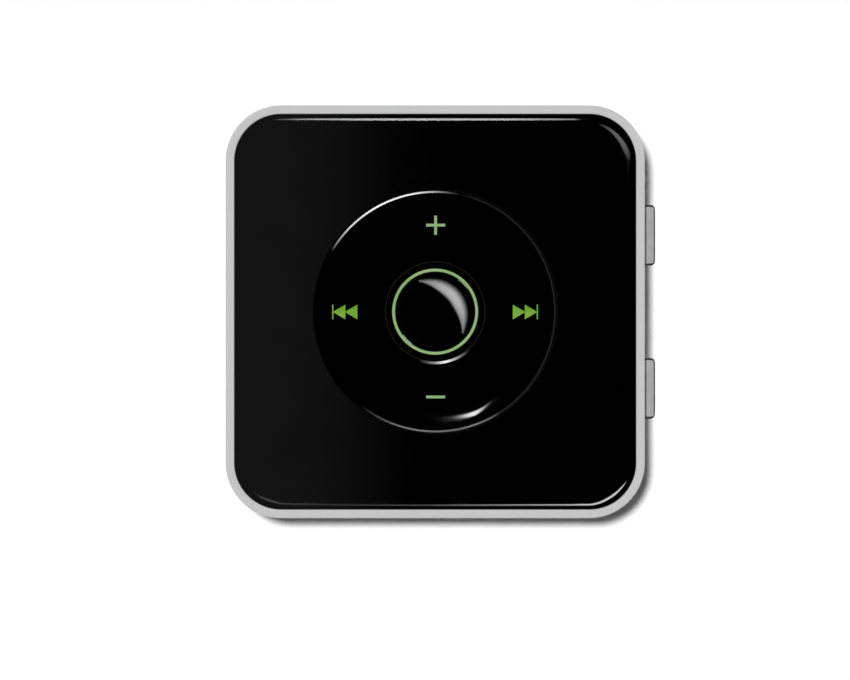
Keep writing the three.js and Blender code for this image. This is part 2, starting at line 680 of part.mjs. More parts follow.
function headphoneJack() {
  const [back, front, height] = [5.5, 18.75, 4.6];
  const body = box(6.2, front - back, height, 0, (front + back) / 2, -height / 2);
  const bore = rod('y', JACK_BORE, back + 0.6, front + 1, 0, 0, FINE_ROUND);
  const relief = box(2.4, 4, 2, 0, 7.4, 1.7);
  const [mouth, depth, flare] = [1.8, 0.76, 0.15];
  const trim = turned([
    [mouth, 0],
    [JACK_TRIM, 0],
    [JACK_TRIM, depth],
    [mouth + flare, depth],
    [mouth, depth - flare],
    [mouth, 0],
  ], FINE_ROUND);
  const contacts = [11.8, 14.1, 16.4].map((y, i) =>
    piece(`jack_contact_${i + 1}`, box(1, 0.9, 0.2, 3.65, y, BOARD_TOP + FIT - JACK_Z), GOLD));
  return assembly(
    [JACK_X, 0, JACK_Z],
    piece('headphone_jack', cut(body, bore, relief), MATTE_BLACK),
    piece('jack_trim_ring', trim.rotate([-90, 0, 0]).translate([0, front + 0.15, 0]), STEEL),
    ...contacts,
  );
}

// The five-contact USB socket. Its mouth faces -Y.
function usbSocket() {
  const [mouth, back, wall] = [19.6, 10.4, 0.3];
  const along = (shape, from, to) => extrude(shape, from, to, 3).rotate([90, 0, 0]);
  const hollow = along(usbShape(wall), back + 0.5, mouth + 1);
  const shell = cut(along(usbShape(0), back, mouth), hollow);
  const tongue = join(box(4, 6.6, 1.1, 0, -14.35, 0.15), box(6, 1.2, 2.4, 0, -11.65, -1.1));
  const strips = [-2, -1, 0, 1, 2].map((i) => box(0.34, 5.2, 0.13, i * 0.8, -15, 0));
  const contacts = join(box(3.8, 0.5, 0.13, 0, -12.62, 0), ...strips);
  return assembly(
    [USB_X, 0, USB_Z],
    piece('usb_shell', shell, STEEL),
    piece('usb_tongue', tongue, MATTE_BLACK),
    piece('usb_contacts', contacts, GOLD),
  );
}

// Outline of the USB shell, wide above and stepped in below, moved inwards by `inset`.
function usbShape(inset) {
  const [wide, narrow, half, shoulder] = [3.85 - inset, 3.3 - inset, 1.97 - inset, -0.35];
  const left = [[-wide, half], [-wide, shoulder], [-narrow, -half]];
  const right = left.map(([x, y]) => [-x, y]).reverse();
  return polygon(...left, ...right);
}

// ---------------------------------------------------------------- the player

const player = new THREE.Group();
player.add(rearCover(), caseBand(), frontPanel(), panelTape(), chassis());
player.add(controlRing(), ...Object.keys(MARKS).map(markInsert), gimbalRing());
player.add(buttonCollar(), lightRing(), centreButton());
player.add(sideKey('upper', KEY_OFFSET), sideKey('lower', -KEY_OFFSET));
player.add(mainBoard(), ...boardChips(), ...lightLeds(), domeFilm(), ...Object.keys(DOME_SPOTS).map(snapDome));
player.add(...battery(), headphoneJack(), usbSocket());
player.add(...coverScrews(), ...boardScrews());

export default player;
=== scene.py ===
"""The looks of a pocket digital audio player: a glossy black face with a dished control ring,
green lit marks and ring, a domed centre button, and a satin silver case with two side keys.

Lengths are written in millimetres, in the CAD's frame, and turned into metres as meshes are made.
A profile is a list of (radius, z) or (inset, z) points, where an inset is measured in from an outline.
"""

import json
import math

import bmesh
import bpy
from mathutils import Matrix, Vector

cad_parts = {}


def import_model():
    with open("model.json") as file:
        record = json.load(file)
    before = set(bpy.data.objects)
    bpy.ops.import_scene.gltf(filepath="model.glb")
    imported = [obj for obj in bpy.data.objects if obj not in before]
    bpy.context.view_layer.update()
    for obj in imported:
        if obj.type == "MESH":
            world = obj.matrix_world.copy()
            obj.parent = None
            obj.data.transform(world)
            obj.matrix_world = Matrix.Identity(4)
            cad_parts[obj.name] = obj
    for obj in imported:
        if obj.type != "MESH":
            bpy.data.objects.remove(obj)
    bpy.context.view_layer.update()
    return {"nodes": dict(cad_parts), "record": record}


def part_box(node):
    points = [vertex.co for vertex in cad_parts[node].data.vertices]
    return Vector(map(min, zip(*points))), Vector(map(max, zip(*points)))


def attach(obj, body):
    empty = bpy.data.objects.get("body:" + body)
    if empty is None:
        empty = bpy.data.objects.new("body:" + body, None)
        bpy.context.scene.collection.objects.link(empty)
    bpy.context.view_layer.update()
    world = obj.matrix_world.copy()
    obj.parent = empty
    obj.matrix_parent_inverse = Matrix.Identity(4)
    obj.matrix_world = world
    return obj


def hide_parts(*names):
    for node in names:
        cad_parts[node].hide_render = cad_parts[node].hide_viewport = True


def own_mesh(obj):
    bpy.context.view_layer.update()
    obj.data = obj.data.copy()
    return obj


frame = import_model()

MM = 0.001
RECORD = frame["record"]
NODES = frame["nodes"]


# ---- the frame, in millimetres

def low(node):
    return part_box(node)[0] / MM


def high(node):
    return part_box(node)[1] / MM


def middle(node):
    return (low(node) + high(node)) / 2


def size(node):
    return high(node) - low(node)


BODY_WIDTH = size("case_band").x
BODY_HEIGHT = size("case_band").y
BODY_CORNER = 5.3
RIM_WIDTH = 0.82  # the band's front edge, seen as a light rim
BAND_TOP = high("case_band").z
BAND_BOTTOM = low("case_band").z
COVER_TOP = 1.3
COVER_EDGE = 1.0  # radius of the rounded edge round the back
FACE_TOP = high("front_panel").z
PANEL_INSET = RIM_WIDTH + 0.02
PANEL_BOTTOM = low("front_panel").z
PANEL_UNDERSIDE = 8.2
PANEL_HOLE = 11.61
PANEL_ROLL = 1.3  # width of the panel's rolled edge
PANEL_ROLL_SLOPE = 30  # its slope where it ends, in degrees

RING_RADIUS = 11.55
RING_FLANGE = high("control_ring").x
RING_BOTTOM = 7.35
RING_HOLE = 4.62
RIM_CROWN = 0.22  # width of the ring's crowned rim
DISH_FLOOR = 9.0
DISH_EDGE = 9.17  # radius where the dish's flat floor ends and its sweep begins
WEB_BOTTOM = 7.95  # underside of the dish
PIVOT_Z = 7.3  # height of both tilt axes
PIN_HOLE = 0.34

COLLAR_INNER = 4.13
COLLAR_OUTER = 4.56
LIGHT_INNER = 3.83
LIGHT_OUTER = 4.1
LIGHT_TOP = high("light_ring").z
BUTTON_RADIUS = 3.74
BUTTON_DOME = 3.4  # radius of the dome in plan
DOME_CURVE = 9.0  # radius of its curvature
LAND_Z = 8.9  # the flat step round the dome

CAP_DEPTH = 2.8  # a side key where it stands through the band, across the band and along it
CAP_LENGTH = 5.82

AROUND = 160  # facets round a turned shape
PER_CORNER = 20  # steps round a corner of the body, and along a side
PER_SIDE = 20
OVER = 0.3  # how far a cutter runs past the face that it cuts


# ---- meshes

def add_piece(node, mesh, slot, body="player_body", sharp=32, material=None):
    """Puts the fine version of a CAD node in the scene, in place of the node.

    Edges that turn by more than the angle sharp, in degrees, are shaded as creases.
    """
    mesh.materials.clear()
    mesh.materials.append(material or MATERIALS[slot])
    mesh.shade_smooth()
    mesh.set_sharp_from_angle(angle=math.radians(sharp))
    piece = bpy.data.objects.new("fine_" + node, mesh)
    bpy.context.scene.collection.objects.link(piece)
    piece.modifiers.new("flats", "WEIGHTED_NORMAL").keep_sharp = True
    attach(piece, body)
    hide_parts(node)
    return piece


def mesh_from(bm):
    """A mesh in metres from a closed shape in millimetres, with its faces turned outwards."""
    bmesh.ops.recalc_face_normals(bm, faces=bm.faces)
    bmesh.ops.scale(bm, vec=(MM,) * 3, verts=bm.verts)
    mesh = bpy.data.meshes.new("shape")
    bm.to_mesh(mesh)
    bm.free()
    return mesh


def skin(loops, closed=False, caps=False):
    """A mesh from loops that all have the same number of points, joined one to the next."""
    bm = bmesh.new()
    rows = [[bm.verts.new(point) for point in loop] for loop in loops]
    pairs = list(zip(rows, rows[1:]))
    if closed:
        pairs.append((rows[-1], rows[0]))
    for below, above in pairs:
        for i in range(len(below)):
            j = (i + 1) % len(below)
            bm.faces.new((below[i], below[j], above[j], above[i]))
    if caps:
        bm.faces.new(rows[0])
        bm.faces.new(rows[-1])
    return mesh_from(bm)


def rounded_outline(width, height, corner, inset=0.0, per_corner=PER_CORNER, per_side=PER_SIDE):
    """Points round a rectangle with rounded corners, moved inwards by inset."""
    smallest = 0.02
    radius = max(corner - inset, smallest)
    right, top = width / 2 - inset - radius, height / 2 - inset - radius
    centres = [(right, top), (-right, top), (-right, -top), (right, -top)]
    points = []
    for quarter, (x, y) in enumerate(centres):
        for i in range(per_corner + 1):
            angle = math.radians(90 * (quarter + i / per_corner))
            points.append((x + radius * math.cos(angle), y + radius * math.sin(angle)))
        next_x, next_y = centres[(quarter + 1) % 4]
        side = math.radians(90 * (quarter + 1))
        end = (next_x + radius * math.cos(side), next_y + radius * math.sin(side))
        start = points[-1]
        for i in range(1, per_side):
            t = i / per_side
            points.append((start[0] + (end[0] - start[0]) * t, start[1] + (end[1] - start[1]) * t))
    return points


def body_loop(inset, z):
    """The body's outline seen from the front, moved inwards by inset."""
    return [(x, y, z) for x, y in rounded_outline(BODY_WIDTH, BODY_HEIGHT, BODY_CORNER, inset)]


def round_loop(radius, z):
    """A circle whose points lie on the same rays as those of the body's outline."""
    angles = [math.atan2(y, x) for x, y in rounded_outline(BODY_WIDTH, BODY_HEIGHT, BODY_CORNER)]
    return [(radius * math.cos(a), radius * math.sin(a), z) for a in angles]


def arc(cx, cz, rx, rz, start, end, steps):
    """Points of a part of an ellipse, with its angles in degrees."""
    angles = [math.radians(start + (end - start) * i / steps) for i in range(steps + 1)]
    return [(cx + rx * math.cos(a), cz + rz * math.sin(a)) for a in angles]


def rounding(radius, z, way, steps):
    """(inset, z) points of a rounded edge, from a side wall to the end face at z.

    The wall comes up to the face where way is 1, and down to it where way is -1.
    """
    angles = [math.radians(90 * i / steps) for i in range(steps + 1)]
    return [(radius * (1 - math.cos(a)), z - way * radius * (1 - math.sin(a))) for a in angles]


def revolve(profile, around=AROUND):
    """A closed profile of (radius, z) points turned about Z. Points on the axis become one vertex."""
    on_axis = 1e-6
    turns = [2 * math.pi * i / around for i in range(around)]
    bm = bmesh.new()
    rows = []
    for radius, z in profile:
        if radius < on_axis:
            rows.append([bm.verts.new((0, 0, z))])
        else:
            rows.append([bm.verts.new((radius * math.cos(t), radius * math.sin(t), z)) for t in turns])
    for below, above in zip(rows, rows[1:] + rows[:1]):
        if len(below) == 1 and len(above) == 1:
            continue
        for i in range(around):
            j = (i + 1) % around
            corners = [below[i % len(below)], below[j % len(below)]]
            corners += [above[j % len(above)], above[i % len(above)]]
            bm.faces.new(list(dict.fromkeys(corners)))
    return mesh_from(bm)


def stack(outline, stations):
    """A closed piece whose outline changes along Z.

    outline(inset) gives (x, y) points, and the stations are (inset, z) pairs.
    """
    return skin([[(x, y, z) for x, y in outline(inset)] for inset, z in stations], caps=True)


def prism(points, bottom, top):
    """A straight piece with one outline of (x, y) points."""
    return stack(lambda _: points, [(0, bottom), (0, top)])


def rounded_bar(length, width, height, corner, edge, steps=6):
    """A bar centred on the origin in X and Y from z = 0 up, rounded at its top edge."""
    stations = [(0, 0), *rounding(edge, height, 1, steps)]
    return stack(lambda inset: rounded_outline(length, width, corner, inset, 8, 2), stations)


def turn(mesh, *matrices, at=(0, 0, 0)):
    """Turns a mesh and moves it to a place in millimetres."""
    for matrix in matrices:
        mesh.transform(matrix.to_4x4())
    mesh.transform(Matrix.Translation(Vector(at) * MM))
    return mesh


def rotation(axis, degrees):
    return Matrix.Rotation(math.radians(degrees), 3, axis)


ONTO_X = rotation("Y", 90)  # turns +Z to +X
ONTO_Y = rotation("X", -90)  # turns +Z to +Y
ONTO_MINUS_Y = rotation("X", 90)
QUARTERS = (0, 90, 180, 270)


def combine(mesh, cutters, operation="DIFFERENCE"):
    """Cuts other meshes out of a mesh, or joins them to it, and returns the new mesh."""
    target = bpy.data.objects.new("target", mesh)
    bpy.context.scene.collection.objects.link(target)
    helpers = []
    for cutter in cutters:
        helper = bpy.data.objects.new("helper", cutter)
        bpy.context.scene.collection.objects.link(helper)
        helpers.append(helper)
        step = target.modifiers.new("cut", "BOOLEAN")
        step.object, step.operation, step.solver = helper, operation, "EXACT"
    evaluated = target.evaluated_get(bpy.context.evaluated_depsgraph_get())
    result = bpy.data.meshes.new_from_object(evaluated)
    for helper in [target, *helpers]:
        bpy.data.objects.remove(helper)
    return result


# ---- materials

class Tree:
    """A short way to write a node tree."""

    def __init__(self, tree):
        self.tree = tree

    def add(self, kind, **settings):
        node = self.tree.nodes.new(kind)
        for key, value in settings.items():
            setattr(node, key, value)
        return node

    def link(self, source, target):
        self.tree.links.new(source, target)

    def spread(self, value, from_low, from_high, to_low, to_high, **settings):
        """Maps the first range of values to the second."""
        node = self.add("ShaderNodeMapRange", **settings)
        limits = {"From Min": from_low, "From Max": from_high, "To Min": to_low, "To Max": to_high}
        for name, number in limits.items():
            node.inputs[name].default_value = number
        self.link(value, node.inputs["Value"])
        return node.outputs["Result"]

    def math(self, operation, first, second):
        node = self.add("ShaderNodeMath", operation=operation)
        for slot, value in zip(node.inputs, (first, second)):
            if isinstance(value, (int, float)):
                slot.default_value = value
            else:
                self.link(value, slot)
        return node.outputs["Value"]


class Surface(Tree):
    """A material's node tree, with its main shader."""

    def __init__(self, name):
        self.material = bpy.data.materials.new(name)
        self.material.use_nodes = True
        super().__init__(self.material.node_tree)
        self.surface = self.tree.nodes["Principled BSDF"]
        self.place = self.add("ShaderNodeTexCoord").outputs["Object"]

    def set(self, **values):
        for key, value in values.items():
            self.surface.inputs[key.replace("_", " ")].default_value = value
        return self

    def noise(self, scale, detail=4.0, roughness=0.55, stretch=(1, 1, 1)):
        """Noise with its scale in waves per millimetre."""
        mapping = self.add("ShaderNodeMapping")
        mapping.inputs["Scale"].default_value = [s * scale / MM for s in stretch]
        self.link(self.place, mapping.inputs["Vector"])
        node = self.add("ShaderNodeTexNoise")
        node.inputs["Scale"].default_value = 1
        node.inputs["Detail"].default_value = detail
        node.inputs["Roughness"].default_value = roughness
        self.link(mapping.outputs["Vector"], node.inputs["Vector"])
        return node.outputs["Fac"]

    def mix(self, share, first, second):
        """A blend of two colours, or colour sockets."""
        node = self.add("ShaderNodeMix", data_type="RGBA")
        self.link(share, node.inputs["Factor"])
        for name, value in (("A", first), ("B", second)):
            slot = next(s for s in node.inputs if s.name == name and s.type == "RGBA")
            if isinstance(value, tuple):
                slot.default_value = (*value, 1)
            else:
                self.link(value, slot)
        return next(s for s in node.outputs if s.type == "RGBA")

    def bump(self, height, strength, distance):
        """Bump from a height, with the distance in millimetres."""
        node = self.add("ShaderNodeBump")
        node.inputs["Strength"].default_value = strength
        node.inputs["Distance"].default_value = distance * MM
        self.link(height, node.inputs["Height"])
        self.link(node.outputs["Normal"], self.surface.inputs["Normal"])

    def roughness(self, source, from_low, from_high, to_low, to_high):
        spread = self.spread(source, from_low, from_high, to_low, to_high)
        self.link(spread, self.surface.inputs["Roughness"])

    def color(self, source):
        self.link(source, self.surface.inputs["Base Color"])

    def two_tone(self, noise, color, darker):
        """The colour, and in places a darker share of it."""
        shade = tuple(c * darker for c in color)
        self.color(self.mix(self.spread(noise, 0.3, 0.7, 0, 1), shade, color))

    def show(self, shader):
        """Puts another shader on the surface."""
        self.link(shader, self.tree.nodes["Material Output"].inputs["Surface"])


def gloss_black():
    """Piano black: mirror smooth, with faint handling marks that only change its roughness."""
    m = Surface("gloss_black").set(Base_Color=(0.0002, 0.0002, 0.0002, 1), IOR=1.5)
    smudges = m.noise(0.16, 5)
    m.roughness(smudges, 0.45, 0.75, 0.035, 0.085)
    return m.material


def silver_paint():
    """Satin silver paint: fine orange peel and metal flake."""
    m = Surface("silver_paint").set(Metallic=0.15)
    flake = m.spread(m.noise(28, 2), 0.35, 0.65, 0, 1)
    m.color(m.mix(flake, (0.585, 0.586, 0.588), (0.66, 0.661, 0.663)))
    m.roughness(m.noise(0.7, 4), 0.3, 0.7, 0.34, 0.44)
    m.bump(m.noise(5, 3), 0.12, 0.01)
    return m.material


def lit_green(name, deep, pale, strength=0.25):
    """Clear green plastic lit from below, a little uneven over the LEDs."""
    m = Surface(name).set(Roughness=0.28, IOR=1.49, Emission_Strength=strength)
    shade = m.mix(m.spread(m.noise(0.9, 3), 0.35, 0.65, 0, 1), deep, pale)
    m.color(shade)
    m.link(shade, m.surface.inputs["Emission Color"])
    m.bump(m.noise(3, 2), 0.05, 0.01)
    return m.material


def satin_grey(name, color, specular=0.5):
    """Satin paint on a small moulding."""
    m = Surface(name).set(Specular_IOR_Level=specular)
    m.two_tone(m.noise(1.2, 4), color, 0.88)
    m.roughness(m.noise(2.5, 3), 0.3, 0.7, 0.33, 0.46)
    m.bump(m.noise(9, 3), 0.15, 0.01)
    return m.material


def moulded(name, color, rough=(0.5, 0.65), grain=14.0, depth=0.3):
    """Moulded plastic with a fine spark texture."""
    m = Surface(name)
    m.two_tone(m.noise(0.5, 4), color, 0.8)
    m.roughness(m.noise(grain / 3, 3), 0.3, 0.7, *rough)
    m.bump(m.noise(grain, 3), depth, 0.01)
    return m.material


def plated(name, color, brush=(1, 1, 1), rough=(0.2, 0.34)):
    """Plated metal with faint drawing marks and handling haze."""
    m = Surface(name).set(Metallic=1.0)
    m.two_tone(m.noise(0.6, 5), color, 0.85)
    marks = m.noise(6, 4, stretch=brush)
    m.roughness(marks, 0.3, 0.7, *rough)
    m.bump(marks, 0.08, 0.01)
    return m.material


MATERIALS = {
    "gloss_black": gloss_black(),
    "silver_shell": silver_paint(),
    "green_light": lit_green("ring_green", (0.178, 0.33, 0.11), (0.235, 0.375, 0.17)),
    "key_grey": satin_grey("key_grey", (0.358, 0.358, 0.36)),
    "black_plastic": moulded("black_plastic", (0.012, 0.0125, 0.013)),
    "board_green": moulded("board_green", (0.008, 0.075, 0.028), (0.25, 0.4), 4.0, 0.1),
    "chip_black": moulded("chip_black", (0.014, 0.014, 0.015), (0.45, 0.6), 20.0, 0.25),
    "steel": plated("steel", (0.58, 0.59, 0.61), (0.15, 1, 1)),
    "gold": plated("gold", (0.83, 0.6, 0.22), (1, 0.2, 1), (0.15, 0.28)),
    "foil": plated("foil", (0.62, 0.63, 0.65), (1, 1, 1), (0.28, 0.5)),
    "amber_film": moulded("amber_film", (0.5, 0.2, 0.018), (0.12, 0.25), 2.0, 0.1),
    "foam": moulded("foam", (0.035, 0.035, 0.037), (0.85, 0.98), 6.0, 0.9),
    "tape": moulded("tape", (0.02, 0.02, 0.02), (0.6, 0.8), 3.0, 0.4),
    "ceramic": moulded("ceramic", (0.42, 0.3, 0.18), (0.5, 0.7), 12.0, 0.2),
    "led_white": moulded("led_white", (0.75, 0.78, 0.68), (0.15, 0.3), 3.0, 0.1),
    "red_wire": moulded("red_wire", (0.4, 0.018, 0.012), (0.35, 0.5), 5.0, 0.1),
    "black_wire": moulded("black_wire", (0.01, 0.01, 0.01), (0.35, 0.5), 5.0, 0.1),
}
PALE_GREEN = lit_green("pale_green", (0.178, 0.31, 0.115), (0.235, 0.36, 0.17))
VIVID_GREEN = lit_green("vivid_green", (0.105, 0.265, 0.018), (0.155, 0.315, 0.045))
# Painted shade: the gimbal ring's steel is made nearly black, so the gap round the centre button stays
# dark.
GIMBAL_SHADE_STEEL = plated("gimbal_steel_painted_shade", (0.025, 0.027, 0.032))
# Painted shade: a dark, barely reflecting grey for the keys' rounded edges, in place of the shade on
# their steep sides.
KEY_EDGE_SHADE = satin_grey("key_edge_painted_shade", (0.035, 0.035, 0.036), 0.1)


# ---- shells

def flared_disc(radius, from_z, to_z, flare, around=48):
    """A round cutter from one height to another, opened out by a small flare at its far end."""
    way = 1 if to_z > from_z else -1
    profile = [(0, from_z), (radius, from_z), (radius, to_z - way * flare)]
    profile += [(radius + flare + OVER, to_z + way * OVER), (0, to_z + way * OVER)]
    return revolve(profile, around)


def slot_cutter(length, width, corner, flare, depth):
    """A rounded slot cutter along Z that opens out by a flare at its top."""
    def outline(inset):
        return rounded_outline(length - 2 * inset, width - 2 * inset, corner - inset, 0, 8, 2)
    return stack(outline, [(0, -depth), (0, -flare), (-flare - OVER, OVER)])


COVER_SCREWS = [f"cover_screw_{i}" for i in range(1, 5)]
SIDE_KEYS = ("upper_side_key", "lower_side_key")


def rear_cover():
    """A plate with a rounded edge, a rib that stands inside the band, and four screw seats."""
    rib_top, rib_soft, rib_outside, rib_inside = 1.9, 0.05, 0.89, 1.6
    profile = [(2.2, COVER_TOP), (rib_inside, COVER_TOP), (rib_inside, rib_top - rib_soft)]
    profile += [(rib_inside - rib_soft, rib_top), (rib_outside + rib_soft, rib_top)]
    profile += [(rib_outside, rib_top - rib_soft), (rib_outside, COVER_TOP)]
    profile += [(0.03, COVER_TOP), (0.0, COVER_TOP - 0.03)]
    profile += rounding(COVER_EDGE, 0, -1, 12)
    profile += [(COVER_EDGE + 0.3, 0.0)]
    plate = skin([body_loop(inset, z) for inset, z in profile], caps=True)
    seat_depth, seat_gap, hole = 0.6, 0.08, 0.8
    cutters = []
    for name in COVER_SCREWS:
        spot = middle(name)
        seat = size(name).x / 2 + seat_gap
        cutters.append(turn(flared_disc(seat, seat_depth, 0, 0.12), at=(spot.x, spot.y, 0)))
        cutters.append(turn(flared_disc(hole, 2.5, 0.3, 0.0), at=(spot.x, spot.y, 0)))
    add_piece("rear_cover", combine(plate, cutters), "silver_shell")


def case_band():
    """The band, with a ledge for what lies on it and openings for the keys and both sockets."""
    top, bottom, inner = BAND_TOP, BAND_BOTTOM, RIM_WIDTH
    soft, ledge_top, ledge_bottom, ledge = 0.12, 7.4, 6.9, 2.3
    profile = [(0.03, bottom), (0.0, bottom + 0.03)]
    profile += rounding(soft, top, 1, 6)
    profile += [(soft + 0.03, top), (inner - 0.05, top), (inner - 0.01, top - 0.02), (inner, top - 0.06)]
    profile += [(inner, ledge_top), (ledge, ledge_top), (ledge, ledge_bottom), (inner, ledge_bottom)]
    profile += [(inner, bottom)]
    band = skin([body_loop(inset, z) for inset, z in profile], closed=True)

    half_x, half_y = BODY_WIDTH / 2, BODY_HEIGHT / 2
    gap, depth = 0.16, 2.5
    cutters = []
    for key in SIDE_KEYS:
        slot = slot_cutter(CAP_LENGTH + gap, CAP_DEPTH + gap, 0.3, 0.07, depth)
        place = (half_x, middle(key).y, middle(key).z)
        cutters.append(turn(slot, rotation("Z", 90), ONTO_X, at=place))
    jack, usb = middle("headphone_jack"), middle("usb_shell")
    bore = flared_disc(2.65, -depth, 0, 0.1, 64)
    cutters.append(turn(bore, ONTO_Y, at=(jack.x, half_y, jack.z)))
    mouth = slot_cutter(8.3, 4.5, 0.9, 0.1, depth)
    cutters.append(turn(mouth, ONTO_MINUS_Y, at=(usb.x, -half_y, usb.z)))
    add_piece("case_band", combine(band, cutters), "silver_shell")


def front_panel():
    """A plate whose outer edge rolls down on a wide arc, with a small chamfer where the arc ends."""
    curve = PANEL_ROLL / math.sin(math.radians(PANEL_ROLL_SLOPE))
    start = PANEL_INSET + PANEL_ROLL
    roll = arc(start, FACE_TOP - curve, curve, curve, 90 + PANEL_ROLL_SLOPE, 90, 18)
    chamfer, lip, wall = 0.04, 0.05, PANEL_INSET + 0.9
    edge_inset, edge_z = roll[0]
    outer = [(wall, PANEL_UNDERSIDE), (wall, PANEL_BOTTOM), (PANEL_INSET, PANEL_BOTTOM)]
    outer += [(PANEL_INSET, edge_z - chamfer), (edge_inset + 0.3 * chamfer, edge_z)]
    outer += [*roll[1:], (start + 0.02, FACE_TOP)]
    hole = [(PANEL_HOLE + lip + 0.02, FACE_TOP)]
    hole += arc(PANEL_HOLE + lip, FACE_TOP - lip, lip, lip, 90, 180, 4)
    hole += [(PANEL_HOLE, PANEL_UNDERSIDE)]
    loops = [body_loop(inset, z) for inset, z in outer] + [round_loop(radius, z) for radius, z in hole]
    add_piece("front_panel", skin(loops, closed=True), "gloss_black")


# ---- control ring

def ring_profile():
    """The dished ring: a flat floor, a shallow sweep up to the rim, and a sloped lip at the hole.

    The sweep, the rim and the lip have separate ranges of slope, with a crease between them.
    """
    crest, curve, crease = RING_RADIUS - RIM_CROWN, 10.975, 0.005
    sweep_slope = math.degrees(math.asin((crest - DISH_EDGE) / curve))
    sweep = arc(DISH_EDGE, DISH_FLOOR + curve, curve, curve, -90 + sweep_slope, -90, 14)
    rim = crown(crest + crease, RING_RADIUS - crease, sweep[0][1], 17, 28)
    lip = crown(5.02, 4.77, DISH_FLOOR, 12, 16)

    flange_top, wall, collar_wall, collar_bottom = 7.75, 10.6, 5.06, 7.8
    profile = [(RING_FLANGE, RING_BOTTOM), (RING_FLANGE, flange_top - 0.05)]
    profile += [(RING_FLANGE - 0.05, flange_top), (RING_RADIUS, flange_top)]
    profile += [(RING_RADIUS, rim[-1][1] - 0.03), *rim[::-1], *sweep]
    profile += [(DISH_EDGE - 0.05, DISH_FLOOR), (5.5, DISH_FLOOR), (5.03, DISH_FLOOR)]
    profile += [*lip, (RING_HOLE, lip[-1][1] - 0.12), (RING_HOLE, collar_bottom)]
    profile += [(collar_wall, collar_bottom), (collar_wall, WEB_BOTTOM)]
    profile += [(wall, WEB_BOTTOM), (wall, RING_BOTTOM)]
    return profile


def crown(start, end, z, first, last, steps=8):
    """A profile that falls from z along an arc, its slope growing from first to last, in degrees."""
    sines = [math.sin(math.radians(angle)) for angle in (first, last)]
    curve = abs(end - start) / (sines[1] - sines[0])
    way = 1 if end > start else -1
    points = []
    for i in range(steps + 1):
        sine = sines[0] + (sines[1] - sines[0]) * i / steps
        fall = curve * (math.cos(math.radians(first)) - math.sqrt(1 - sine * sine))
        points.append((start + way * curve * (sine - sines[0]), z - fall))
    return points


MARK_CENTRES = {
    "plus": (0.04, 8.25),
    "minus": (0.04, -8.13),
    "next": (8.6, -0.03),
    "previous": (-8.62, -0.03),
}


def mark_outline(kind, grow=0.0):
    """The outline of a mark as one polygon, round its own centre."""
    if kind in ("next", "previous"):
        return skip_outline(1 if kind == "next" else -1, grow)
    long, thick = 0.9 + grow, 0.13 + grow
    if kind == "minus":
        return [(-long, -thick), (long, -thick), (long, thick), (-long, thick)]
    arm = [(long, -thick), (long, thick), (thick, thick)]
    points = []
    for c, s in ((1, 0), (0, 1), (-1, 0), (0, -1)):
        points += [(x * c - y * s, x * s + y * c) for x, y in arm]
    return points


def skip_outline(way, grow):
    """Two triangles and a bar, joined at the triangles' tips, pointing to +X or -X."""
    step, half, bar, tip = 1.14, 0.69 + grow, 0.11, 0.04
    start = -(2 * step + bar) / 2
    upper = [
        (start - grow, half),
        (start + step - grow, tip),
        (start + step - grow, half),
        (start + 2 * step - grow, tip),
        (start + 2 * step - grow, half),
        (start + 2 * step + bar + grow, half),
    ]
    points = upper + [(x, -y) for x, y in reversed(upper)]
    return [(way * x, y) for x, y in points]


def ring_fittings():
    """Under the ring: a post over each outer snap dome, and two lugs for the gimbal's pins."""
    bottom, root = low("control_ring").z, WEB_BOTTOM + 0.1
    post, soft = 0.5, 0.1
    profile = [(0, bottom), (post - soft, bottom), (post, bottom + soft), (post, root), (0, root)]
    fittings = []
    for kind in MARK_CENTRES:
        spot = middle(f"{kind}_snap_dome")
        fittings.append(turn(revolve(profile, 32), at=(spot.x, spot.y, 0)))
    lug_bottom, reach = PIVOT_Z - 0.35, 6.55
    for y in (reach, -reach):
        outline = rounded_outline(1.4, 0.6, 0.15, 0, 4, 2)
        fittings.append(turn(prism(outline, lug_bottom, root), at=(0, y, 0)))
    return fittings


def pin_bore(reach, turned):
    """A cutter for two of the gimbal's pins, right through the middle."""
    bore = revolve([(0, -reach), (PIN_HOLE, -reach), (PIN_HOLE, reach), (0, reach)], 32)
    return turn(bore, turned, at=(0, 0, PIVOT_Z))


def control_ring():
    """The dished ring with its fittings, and a window for each mark."""
    ring = combine(revolve(ring_profile(), 192), ring_fittings(), "UNION")
    gap, below, above = 0.012, 7.0, 10.0
    windows = []
    for kind, (x, y) in MARK_CENTRES.items():
        windows.append(turn(prism(mark_outline(kind, gap), below, above), at=(x, y, 0)))
    ring = combine(ring, [*windows, pin_bore(7.1, ONTO_MINUS_Y)])
    add_piece("control_ring", ring, "gloss_black", "control_ring", sharp=5)


def marks():
    """Each mark is an insert nearly flush with the dish, on a wider pad under the ring."""
    for kind, (x, y) in MARK_CENTRES.items():
        node = f"{kind}_mark"
        bottom, spot, extent = low(node).z, middle(node), size(node)
        insert = turn(prism(mark_outline(kind), bottom, DISH_FLOOR - 0.005), at=(x, y, 0))
        pad = rounded_bar(extent.x, extent.y, WEB_BOTTOM - 0.03 - bottom, 0.15, 0.04, 3)
        pad = turn(pad, at=(spot.x, spot.y, bottom - 0.002))
        glow = VIVID_GREEN if kind in ("next", "previous") else PALE_GREEN
        mark = combine(insert, [pad], "UNION")
        add_piece(node, mark, "green_light", "control_ring", sharp=20, material=glow)


